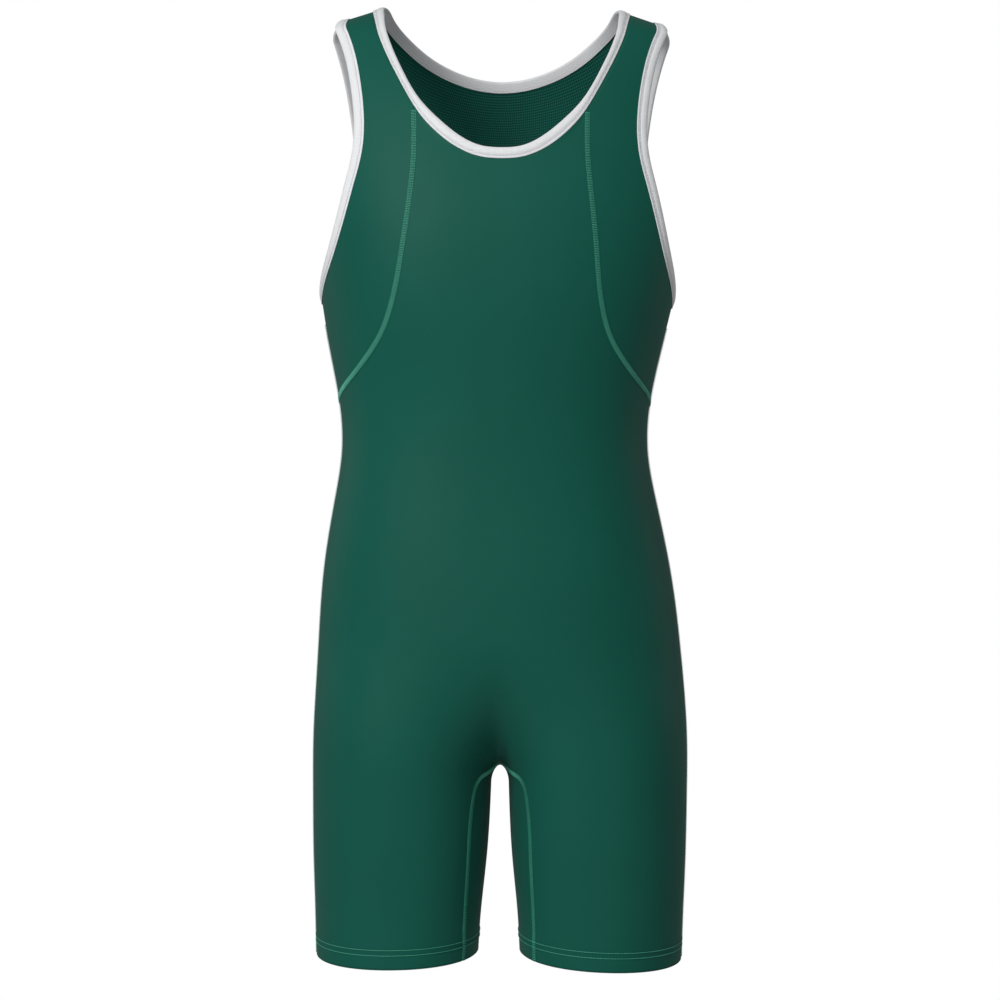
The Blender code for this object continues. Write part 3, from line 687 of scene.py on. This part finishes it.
def below_neck(left, right, inner):
    """Rows of places that start at the line inside the neck and straighten out below it."""
    shares = np.linspace(0, 1, len(inner))
    places = ruled(left, right, shares)
    bow = inner - places[0]
    for i in range(NECK_FADE):
        places[i] += bow * eased(1 - i / NECK_FADE)
    return places


def following(rows, start, end):
    """Rises from start to end that keep the rhythm of the given rows."""
    share = (rows[:, 1] - rows[-1, 1]) / (rows[0, 1] - rows[-1, 1])
    return end + (start - end) * share


def front_grid(cuts):
    """Rows from the neck to the hem, columns from the middle to the princess and side seams."""
    neck, inner = cuts.neck[: cuts.top + 1], cuts.neck_inner[: cuts.top + 1]
    trunk = np.concatenate([cuts.princess_rows, cuts.hip_rows[1:]])
    right = np.concatenate([trunk, cuts.leg_rows[1:]])
    falls = following(trunk, places_of(inner[0])[1], CROTCH_FRONT)
    left = np.concatenate([middle_places(falls), cuts.gusset_front[1:]])
    grid = on_form(with_hem(below_neck(left, right, places_of(inner))))
    grid[: len(trunk), 0] = on_middle(falls)
    grid[0] = inner
    return np.concatenate([neck[None], grid])


def side_grid(cuts):
    """Rows from the shoulder seam to the tip, columns from the neck and princess seam outwards."""
    inner = cuts.neck_inner[cuts.shoulder : cuts.top : -1]
    left = np.concatenate([places_of(inner), cuts.princess_rows])
    right = np.concatenate([places_of(cuts.arm_front_inner), cuts.flank_rows[1:]])
    grid = on_form(ruled(left, right, np.linspace(0, 1, SIDE_COLUMNS + 1)))
    grid[: len(inner), 0] = inner
    grid[: len(cuts.arm_front_inner), -1] = cuts.arm_front_inner
    grid[len(inner), 0] = cuts.neck_inner[cuts.top]
    grid[-1] = grid[-1, -1]
    return grid


def back_grids(cuts):
    """The outer grid, from the strap down, and the one between it and the middle."""
    inner, corner = cuts.neck_inner, cuts.neck_inner[cuts.guide]
    right = np.concatenate([places_of(cuts.arm_back_inner), cuts.flank_rows[1:]])
    right = np.concatenate([right, cuts.hip_rows[1:], cuts.leg_rows[1:]])
    strap = places_of(inner[cuts.shoulder : cuts.guide])
    start = places_of(corner)
    guide = line([tuple(start)] + list(BACK_GUIDE[1:]))
    high = np.linspace(start[1], cuts.flank_rows[0, 1], ARMHOLE_STEPS + 1 - len(strap))
    trunk = np.concatenate([high, cuts.flank_rows[1:, 1], cuts.hip_rows[1:, 1]])
    legs = (cuts.leg_rows[1:, 1] + cuts.gusset_back[1:, 1]) / 2
    guide_rows = at_rises(guide, np.concatenate([trunk, legs]))
    outer = ruled(np.concatenate([strap, guide_rows]), right, np.linspace(0, 1, STRAP_COLUMNS + 1))
    outer = on_form(with_hem(outer))
    outer[: len(strap), 0] = inner[cuts.shoulder : cuts.guide]
    outer[len(strap), 0] = corner
    outer[: ARMHOLE_STEPS + 1, -1] = cuts.arm_back_inner

    falls = following(guide_rows[: len(trunk)], places_of(inner[-1])[1], CROTCH_BACK)
    left = np.concatenate([middle_places(falls, back=True), cuts.gusset_back[1:]])
    middle = below_neck(left, guide_rows, places_of(inner[cuts.guide :])[::-1])
    middle = on_form(with_hem(middle))
    middle[: len(trunk), 0] = on_middle(falls, back=True)
    middle[0] = inner[cuts.guide :][::-1]
    middle[:, -1] = outer[len(strap) :, 0]
    return outer, middle


def gusset_grid(cuts, front_seam, back_seam):
    """Rows from the crotch down the inside of the leg, columns from the front seam to the back one.

    Rays leave the middle plane between the legs: fanned about GAP_CENTRE above it, level below.
    """

    def turn(points):
        height = points[:, 2] - GAP_CENTRE
        fan = np.degrees(np.arctan2(points[:, 0], np.maximum(height, 1e-9)))
        return np.stack([points[:, 1], np.where(height > 0, fan, 90 - height * 1000)], -1)

    places = ruled(turn(front_seam), turn(back_seam), np.linspace(0, 1, GUSSET_COLUMNS + 1))
    across, turned = places[..., 0], places[..., 1]
    fan = np.radians(np.clip(turned, 0, 90))
    height = GAP_CENTRE - np.maximum(turned - 90, 0) / 1000
    start = np.stack([0 * across, across, height], -1)
    direction = np.stack([np.sin(fan), 0 * fan, np.cos(fan)], -1)
    grid = cast(start, direction, 0.08, leaving=False)
    hem_places = places_of(grid[-1])
    hem_places[:, 1] = hem_rise(hem_places[:, 0])
    grid[-1], grid[-2] = on_form(hem_places), on_form(hem_places + (0, HEM_TURN))
    grid[0, :, 0] = 0
    grid[:, 0], grid[:, -1] = front_seam, back_seam
    return grid


def rolled_section():
    """The folded binding: a soft roll, the groove that its stitches pull in, and a flat lip.

    The outside's points are (distance from the edge, height in layers of the binding).
    """
    top, under, layer = SEAM_GAP, -CLOTH - SEAM_GAP, BINDING_LAYER
    deep, lap = BINDING_WIDTH, BOUND_BACK - SEAM_GAP
    outside = (
        (deep, 0.0),
        (deep, 0.45),
        (deep - 0.0003, 0.75),
        (0.0096, 0.95),
        (0.0088, 0.80),
        (0.0082, 0.35),
        (BINDING_STITCH, 0.15),
        (0.0074, 0.35),
        (0.0068, 0.95),
        (0.0058, 1.40),
        (0.0044, 1.62),
        (0.0030, 1.55),
        (0.0018, 1.20),
        (0.0009, 0.70),
        (0.0003, 0.10),
    )
    rolled = [(across, top + layer * height) for across, height in outside]
    rolled += [(0.0, (top + under) / 2), (0.0003, under - 0.10 * layer), (0.0009, under - 0.70 * layer)]
    rolled += [(0.0018, under - layer), (deep, under - layer), (deep, under), (lap, under), (lap, top)]
    return [(across / STRIP, lift) for across, lift in rolled]


def build_mesh(name, points, faces, uv, materials, inner_from=None):
    """A smooth mesh with a UV map in metres. Faces from inner_from on use the second material."""
    mesh = bpy.data.meshes.new(name)
    mesh.from_pydata(stance(points).tolist(), [], np.asarray(faces).tolist())
    layer = mesh.uv_layers.new(name="cloth")
    layer.data.foreach_set("uv", np.asarray(uv, np.float32).ravel())
    for material in materials:
        mesh.materials.append(material)
    if inner_from is not None:
        slots = np.zeros(len(faces), np.int32)
        slots[inner_from:] = 1
        mesh.polygons.foreach_set("material_index", slots)
    mesh.polygons.foreach_set("use_smooth", np.ones(len(faces), bool))
    mesh.set_sharp_from_angle(angle=SHARP_ANGLE)
    return placed(name, mesh)


def placed(name, data):
    made = bpy.data.objects.new(name, data)
    bpy.context.scene.collection.objects.link(made)
    return made


def stands_for(piece, name):
    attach(piece, "root")
    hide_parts(name)
    return piece


def cloth_uv(points, triangles, centre):
    """UVs in metres for every corner: across from the given angle, and along the rise."""
    place = places_of(points * side_of(points))
    across = ARC * np.radians(place[:, 0] - centre)
    side = np.where(points[triangles][..., 0].mean(1) < 0, -1.0, 1.0)[:, None]
    return np.stack([side * across[triangles], place[:, 1][triangles]], -1).reshape(-1, 2)


def make_panel(name, panel, bound, hem, centre, materials):
    """A panel as a closed shell: knit outside, and the knit's back inside."""
    points, normals, triangles = panel.finish(bound, hem)
    count = len(points)
    walls = []
    for a, sides in panel.border(triangles).items():
        for b, forward in sides.items():
            if forward:
                walls += [(b, a, a + count), (b, a + count, b + count)]
    both = np.concatenate([points, points - normals * CLOTH])
    faces = np.concatenate([triangles, walls, triangles[:, ::-1] + count])
    uv = cloth_uv(both, faces, centre)
    made = build_mesh(name + "_cloth", both, faces, uv, materials, len(triangles) + len(walls))
    return stands_for(made, name)


def swept_uv(edge, inner, section, width):
    """UVs of a sweep: metres along the edge, and metres round the section."""
    section = np.array(section) * (width, 1)
    runs = np.linalg.norm(np.roll(edge, -1, axis=0) - edge, axis=1)
    along = np.append(0, np.cumsum(runs))
    turns = np.linalg.norm(np.roll(section, -1, axis=0) - section, axis=1)
    round_it = np.append(0, np.cumsum(turns))
    corners = []
    for i in range(len(edge)):
        k = (i + 1) % len(edge)
        falling = np.linalg.norm(edge[i] - inner[k]) <= np.linalg.norm(edge[k] - inner[i])
        for j in range(len(section)):
            m = (j + 1) % len(section)
            a, b = (along[i], round_it[j]), (along[i], round_it[j + 1])
            c, d = (along[i + 1], round_it[j + 1]), (along[i + 1], round_it[j])
            outwards = section[j, 0] < section[m, 0]
            corners += [a, b, c, a, c, d] if outwards == falling else [a, b, d, b, c, d]
    return corners


# Materials


class Value:
    """A shader socket that takes part in Python arithmetic."""

    def __init__(self, shader, socket):
        self.shader, self.socket = shader, socket

    def maths(self, operation, *others):
        sockets = dict(enumerate((self, *others)))
        return self.shader.node("ShaderNodeMath", dict(operation=operation), sockets)

    def __add__(self, other):
        return self.maths("ADD", other)

    def __mul__(self, other):
        return self.maths("MULTIPLY", other)

    __radd__, __rmul__ = __add__, __mul__


class Shader:
    """A Principled material whose nodes are written as expressions."""

    def __init__(self, name, **constants):
        self.material = bpy.data.materials.new(name)
        self.material.use_nodes = True
        self.tree = self.material.node_tree
        self.surface = self.tree.nodes["Principled BSDF"]
        self.set(**{"Metallic": 0.0, "Sheen Weight": 0.0, "Sheen Roughness": 0.45, **constants})

    def set(self, **sockets):
        self.fill(self.surface, sockets)

    def fill(self, node, sockets):
        """Sets or links each socket, by its name or its number."""
        for key, value in sockets.items():
            if isinstance(value, Value):
                self.tree.links.new(value.socket, node.inputs[key])
            else:
                node.inputs[key].default_value = value

    def node(self, kind, settings, sockets, output=0):
        made = self.tree.nodes.new(kind)
        for key, value in settings.items():
            setattr(made, key, value)
        self.fill(made, sockets)
        return Value(self, made.outputs[output])

    def uv(self):
        return self.node("ShaderNodeUVMap", dict(uv_map="cloth"), {})

    def place(self):
        return self.node("ShaderNodeTexCoord", {}, {}, "Object")

    def parts(self, vector):
        split = self.node("ShaderNodeSeparateXYZ", {}, {0: vector})
        return [Value(self, socket) for socket in split.socket.node.outputs]

    def noise(self, vector, scale, detail=2.0):
        return self.node("ShaderNodeTexNoise", {}, {0: vector, "Scale": scale, "Detail": detail})

    def fibre(self, across, along):
        stretched = self.node("ShaderNodeMapping", {}, {0: self.uv(), "Scale": (across, along, 1)})
        return self.noise(stretched, 1.0)

    def mix(self, share, first, second):
        return self.node("ShaderNodeMix", dict(data_type="RGBA"), {0: share, 6: first, 7: second}, 2)

    def ramp(self, value, low, high):
        return self.node("ShaderNodeMapRange", dict(clamp=True), {0: value, 1: low, 2: high})

    def bump(self, height, distance, strength):
        relief = dict(Strength=strength, Distance=distance, Height=height)
        self.set(Normal=self.node("ShaderNodeBump", {}, relief))


def wave(value, pitch):
    """0 to 1 and back, once every pitch metres."""
    return (value * (2 * math.pi / pitch)).maths("SINE") * 0.5 + 0.5


def knit_material(name, light, dark, back=False):
    """Fine warp knit. Its back shows the courses as rows of small loops."""
    shader = Shader(name, **{"Sheen Weight": 0.03, "Specular IOR Level": 0.07})
    across, along, _ = shader.parts(shader.uv())
    soft = shader.noise(shader.place(), 9.0, 3.0)
    fibre = shader.fibre(1800, 700)
    if back:
        loops = wave(across + along * BACK_SLANT, BACK_LOOP[0]) * wave(along, BACK_LOOP[1])
    else:
        loops = wave(across, FACE_LOOP[0]) * wave(along, FACE_LOOP[1])
    shade = soft * 0.35 + fibre * 0.35 + loops * (0.75 if back else 0.12) + (-0.15 if back else 0.05)
    colour = shader.mix(shader.ramp(shade, 0.1, 0.8), dark, light)
    shader.set(**{"Base Color": colour, "Roughness": shader.ramp(fibre, 0.0, 2.4) * 0.5 + 0.38})
    shader.bump(loops * 0.6 + fibre * 0.5, 0.00022, 0.45 if back else 0.28)
    return shader.material


def binding_material():
    shader = Shader("white binding", **{"Roughness": 0.72, "Sheen Weight": 0.35})
    along, _, _ = shader.parts(shader.uv())
    ribs, fibre = wave(along, RIB), shader.fibre(900, 1400)
    shade = shader.ramp(ribs * 0.5 + fibre * 0.6, 0.0, 1.1)
    shader.set(**{"Base Color": shader.mix(shade, SHADED_WHITE, WHITE)})
    shader.bump(ribs * 0.7 + fibre * 0.4, 0.00018, 0.5)
    return shader.material


def thread_material(name, light, dark):
    shader = Shader(name, **{"Roughness": 0.5, "Sheen Weight": 0.05})
    twist = shader.noise(shader.place(), 900.0, 1.0)
    shader.set(**{"Base Color": shader.mix(shader.ramp(twist, 0.25, 0.75), dark, light)})
    return shader.material


# Stitches


def stitch_tree():
    """Geometry Nodes: a short bowed thread on each point of a path, turned by its stored directions."""
    tree = bpy.data.node_groups.new("stitches", "GeometryNodeTree")
    face = tree.interface
    face.new_socket("Path", in_out="INPUT", socket_type="NodeSocketGeometry")
    for name, value in (("Length", 0.004), ("Thickness", 0.0003), ("Bow", 0.0003)):
        face.new_socket(name, in_out="INPUT", socket_type="NodeSocketFloat").default_value = value
    face.new_socket("Thread", in_out="INPUT", socket_type="NodeSocketMaterial")
    face.new_socket("Stitches", in_out="OUTPUT", socket_type="NodeSocketGeometry")
    link = tree.links.new

    def node(kind, **sockets):
        made = tree.nodes.new(kind)
        for key, value in sockets.items():
            made.inputs[key.replace("_", " ")].default_value = value
        return made

    given, out = node("NodeGroupInput"), node("NodeGroupOutput")
    arc = node("GeometryNodeCurveQuadraticBezier", Resolution=5)
    for share, end in ((-0.5, "Start"), (0.5, "End")):
        reach = node("ShaderNodeMath")
        reach.operation = "MULTIPLY"
        reach.inputs[1].default_value = share
        link(given.outputs["Length"], reach.inputs[0])
        place = node("ShaderNodeCombineXYZ")
        link(reach.outputs[0], place.inputs[0])
        link(place.outputs[0], arc.inputs[end])
    top = node("ShaderNodeCombineXYZ")
    link(given.outputs["Bow"], top.inputs[2])
    link(top.outputs[0], arc.inputs["Middle"])
    profile = node("GeometryNodeCurvePrimitiveCircle", Resolution=6)
    link(given.outputs["Thickness"], profile.inputs["Radius"])
    tube = node("GeometryNodeCurveToMesh", Fill_Caps=True)
    link(arc.outputs[0], tube.inputs["Curve"])
    link(profile.outputs[0], tube.inputs["Profile Curve"])

    lying, upright = (node("FunctionNodeAlignRotationToVector") for _ in range(2))
    lying.axis = "X"
    upright.axis, upright.pivot_axis = "Z", "X"
    for name, turned in (("lies", lying), ("up", upright)):
        read = node("GeometryNodeInputNamedAttribute", Name=name)
        read.data_type = "FLOAT_VECTOR"
        link(read.outputs["Attribute"], turned.inputs["Vector"])
    link(lying.outputs[0], upright.inputs["Rotation"])

    spread = node("GeometryNodeInstanceOnPoints")
    link(given.outputs["Path"], spread.inputs["Points"])
    link(tube.outputs[0], spread.inputs["Instance"])
    link(upright.outputs[0], spread.inputs["Rotation"])
    real, paint = node("GeometryNodeRealizeInstances"), node("GeometryNodeSetMaterial")
    link(spread.outputs[0], real.inputs[0])
    link(real.outputs[0], paint.inputs["Geometry"])
    link(given.outputs["Thread"], paint.inputs["Material"])
    link(paint.outputs[0], out.inputs[0])
    return tree


def make_stitches(name, tree, path, lies, up, sizes, thread):
    """Stitches on a list of points, each lying along its own direction, as one plain mesh."""
    mesh = bpy.data.meshes.new(name)
    mesh.from_pydata(stance(path).tolist(), [], [])
    for label, vectors in (("lies", lies), ("up", up)):
        stored = mesh.attributes.new(label, "FLOAT_VECTOR", "POINT")
        stored.data.foreach_set("vector", np.asarray(vectors, np.float32).ravel())
    made = placed(name, mesh)
    modifier = made.modifiers.new("stitches", "NODES")
    modifier.node_group = tree
    wanted = dict(zip(("Length", "Thickness", "Bow"), sizes), Thread=thread)
    for item in tree.interface.items_tree:
        if item.in_out == "INPUT" and item.name in wanted:
            modifier[item.identifier] = wanted[item.name]
    graph = bpy.context.evaluated_depsgraph_get()
    plain = bpy.data.meshes.new_from_object(made.evaluated_get(graph))
    made.modifiers.clear()
    made.data = plain
    plain.polygons.foreach_set("use_smooth", np.ones(len(plain.polygons), bool))
    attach(made, "root")


def frames_along(points, pitch):
    """Spots every pitch metres along an open run of points, with the run's and the form's directions."""
    runs = np.linalg.norm(np.diff(points, axis=0), axis=1)
    along = np.append(0, np.cumsum(runs))
    count = max(2, int(along[-1] / pitch))
    at = (np.arange(count) + 0.5) * along[-1] / count
    spots, ahead, behind = (
        np.stack([np.interp(at + shift, along, points[:, k]) for k in range(3)], -1)
        for shift in (0, pitch / 2, -pitch / 2)
    )
    run = ahead - behind
    run /= np.linalg.norm(run, axis=1, keepdims=True)
    side = side_of(spots)
    return spots, run, outward(spots * side) * side


def flatlock(name, tree, seam, thread):
    """A flatlock seam: threads side by side across the seam, each bowed over it."""
    spots, run, up = frames_along(seam, SEAM_PITCH)
    lift = up * (SEAM_THREAD * 0.8)
    sizes = SEAM_WIDTH, SEAM_THREAD, SEAM_THREAD * 1.6
    make_stitches(name, tree, spots + lift, np.cross(up, run), up, sizes, thread)


def running_stitch(name, tree, ring, pitch, lift, thread):
    """A row of lying stitches round a closed ring, each a little shorter than its pitch."""
    spots, run, up = frames_along(np.concatenate([ring, ring[:1]]), pitch)
    sizes = pitch * STITCH_SHARE, STITCH_THREAD, STITCH_BOW
    make_stitches(name, tree, spots + up * lift, run, up, sizes, thread)


def between(edge, inner, share):
    return edge * (1 - share) + inner * share


def build_garment():
    """The ten pieces by name, and the lines that the stitches follow."""
    cuts = Cuts()
    front, side = front_grid(cuts), side_grid(cuts)
    outer, middle = back_grids(cuts)
    crotch = len(cuts.princess_rows) + len(cuts.hip_rows) - 1
    back_crotch = len(middle) - len(cuts.gusset_back)
    gusset = gusset_grid(cuts, front[crotch:, 0], middle[back_crotch:, 0])
    neck = slice(cuts.top, cuts.shoulder + 1)
    side_neck = np.stack([cuts.neck[neck], cuts.neck_inner[neck]])
    side_arm = np.stack([cuts.arm_front, cuts.arm_front_inner])
    back_neck = np.stack([cuts.neck[cuts.shoulder :], cuts.neck_inner[cuts.shoulder :]])
    back_arm = np.stack([cuts.arm_back, cuts.arm_back_inner])
    arm = np.concatenate([cuts.arm_front, cuts.arm_back[-2:0:-1]])
    arm_inner = np.concatenate([cuts.arm_front_inner, cuts.arm_back_inner[-2:0:-1]])
    bound = np.concatenate([cuts.neck, arm])
    around = [front[:, :-1]] + [grid[:, ::-1][:, :-1] for grid in (outer, middle, gusset)]
    hem = np.concatenate([grid[-1] for grid in around])
    turned = np.concatenate([grid[-2] for grid in around])
    loop = np.concatenate([cuts.neck, cuts.neck[-2:0:-1] * MIRROR])
    loop_inner = np.concatenate([cuts.neck_inner, cuts.neck_inner[-2:0:-1] * MIRROR])

    face = knit_material("green knit", GREEN, DEEP_GREEN)
    inside = knit_material("green knit back", INSIDE_GREEN, INSIDE_DEEP_GREEN, back=True)
    white = binding_material()
    pieces = {}
    for name, grids, centre in (
        ("front_panel", (front,), 0),
        ("back_panel", (outer, middle, back_neck, back_arm), 180),
        ("crotch_gusset", (gusset,), 270),
    ):
        panel = Panel()
        for grid in grids:
            panel.both(grid)
        pieces[name] = make_panel(name, panel, bound, hem, centre, [face, inside])
    for name, mirrored in (("left_side_front", False), ("right_side_front", True)):
        panel = Panel()
        for grid in (side, side_neck, side_arm):
            panel.add(grid, mirrored)
        pieces[name] = make_panel(name, panel, bound, hem, 0, [face, inside])

    for name, edge, inner, section, width, material, slot in (
        ("neck_binding", loop, loop_inner, rolled_section(), STRIP, white, "white_binding"),
        ("left_armhole_binding", arm, arm_inner, rolled_section(), STRIP, white, "white_binding"),
        ("left_hem_turnup", hem, turned, hem_section(), HEM_TURN, face, "green_knit"),
    ):
        shapes = {name: sweep(edge, inner, section)}
        if name.startswith("left"):
            shapes[name.replace("left", "right")] = reflected(*shapes[name])
        for own_name, swept in shapes.items():
            uv = swept_uv(edge, inner, section, width)
            made = build_mesh(own_name + "_cloth", *swept, uv, [material])
            pieces[own_name] = stands_for(made, own_name)

    side_line = on_form(np.concatenate([cuts.flank_rows, cuts.hip_rows[1:], cuts.leg_rows[1:]]))
    seams = dict(
        princess_seam=front[2 : PRINCESS_STEPS + 2, -1],
        side_seam=side_line[6:],
        shoulder_seam=side[0, 1:-1],
        gusset_front_seam=gusset[3:, 0],
        gusset_back_seam=gusset[3:, -1],
    )
    stitch_share = BINDING_STITCH / STRIP
    rings = dict(neck=between(loop, loop_inner, stitch_share))
    rings["left_armhole"] = between(arm, arm_inner, stitch_share)
    rings["right_armhole"] = rings["left_armhole"] * MIRROR
    hem_shares = [HEM_LINE / HEM_TURN - row * HEM_LINES_APART / HEM_TURN for row in (0, 1)]
    return pieces, seams, rings, [between(hem, turned, share) for share in hem_shares]


def build_stitches(seams, rings, hems):
    tree = stitch_tree()
    green = thread_material("green thread", THREAD_GREEN, THREAD_DEEP_GREEN)
    white = thread_material("white thread", THREAD_WHITE, THREAD_SHADED_WHITE)
    for name, points in seams.items():
        flatlock("left_" + name, tree, points, green)
        flatlock("right_" + name, tree, points * MIRROR, green)
    for row, hem in enumerate(hems, 1):
        for prefix, ring in (("left", hem), ("right", hem * MIRROR)):
            name = f"{prefix}_hem_stitch_{row}"
            running_stitch(name, tree, ring, HEM_PITCH, HEM_LIFT, green)
    for name, ring in rings.items():
        running_stitch(name + "_stitch", tree, ring, BINDING_PITCH, BINDING_LIFT, white)


def area_light(name, place, aimed_at, size, power):
    data = bpy.data.lights.new(name, "AREA")
    data.shape, data.size, data.energy = "SQUARE", size, power
    made, spot = placed(name, data), placed(name + " aim", None)
    made.location, spot.location = place, (0, 0, aimed_at)
    aim = made.constraints.new("TRACK_TO")
    aim.target, aim.track_axis, aim.up_axis = spot, "TRACK_NEGATIVE_Z", "UP_Y"


def studio():
    scene = bpy.context.scene
    scene.view_settings.view_transform = "Standard"
    world = bpy.data.worlds.new("studio")
    scene.world = world
    world.use_nodes = True
    nodes, link = world.node_tree.nodes, world.node_tree.links.new
    path, mix = nodes.new("ShaderNodeLightPath"), nodes.new("ShaderNodeMix")
    link(path.outputs["Is Camera Ray"], mix.inputs[0])
    mix.inputs[2].default_value, mix.inputs[3].default_value = ROOM_LIGHT, SHOWN_BACKGROUND
    link(mix.outputs[0], nodes["Background"].inputs["Strength"])
    nodes["Background"].inputs["Color"].default_value = (1, 1, 1, 1)
    for light in LIGHTS:
        area_light(*light)

    low = cad_box[0][2] - FLOOR_BELOW
    corners = [(x * FLOOR_REACH, y * FLOOR_REACH, low) for x, y in ((-1, -1), (1, -1), (1, 1), (-1, 1))]
    mesh = bpy.data.meshes.new("floor")
    mesh.from_pydata(corners, [], [(0, 1, 2, 3)])
    paper = Shader("pale floor", Roughness=0.9)
    paper.set(**{"Base Color": FLOOR_COLOUR})
    mesh.materials.append(paper.material)
    placed("floor", mesh)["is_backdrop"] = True

    lens = bpy.data.cameras.new("camera")
    lens.sensor_width, lens.lens = SENSOR, SENSOR * VIEW_DISTANCE / VIEW_WIDTH
    scene.camera = placed("camera", lens)
    scene.camera.location = (0, -VIEW_DISTANCE, VIEW_HEIGHT)
    scene.camera.rotation_euler = (math.pi / 2, 0, 0)


def write_size():
    boxes = dict(cad=[list(map(float, corner)) for corner in cad_box])
    boxes["scene"] = [list(map(float, corner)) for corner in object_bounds()]


pieces, *stitch_lines = build_garment()
build_stitches(*stitch_lines)
studio()
write_size()
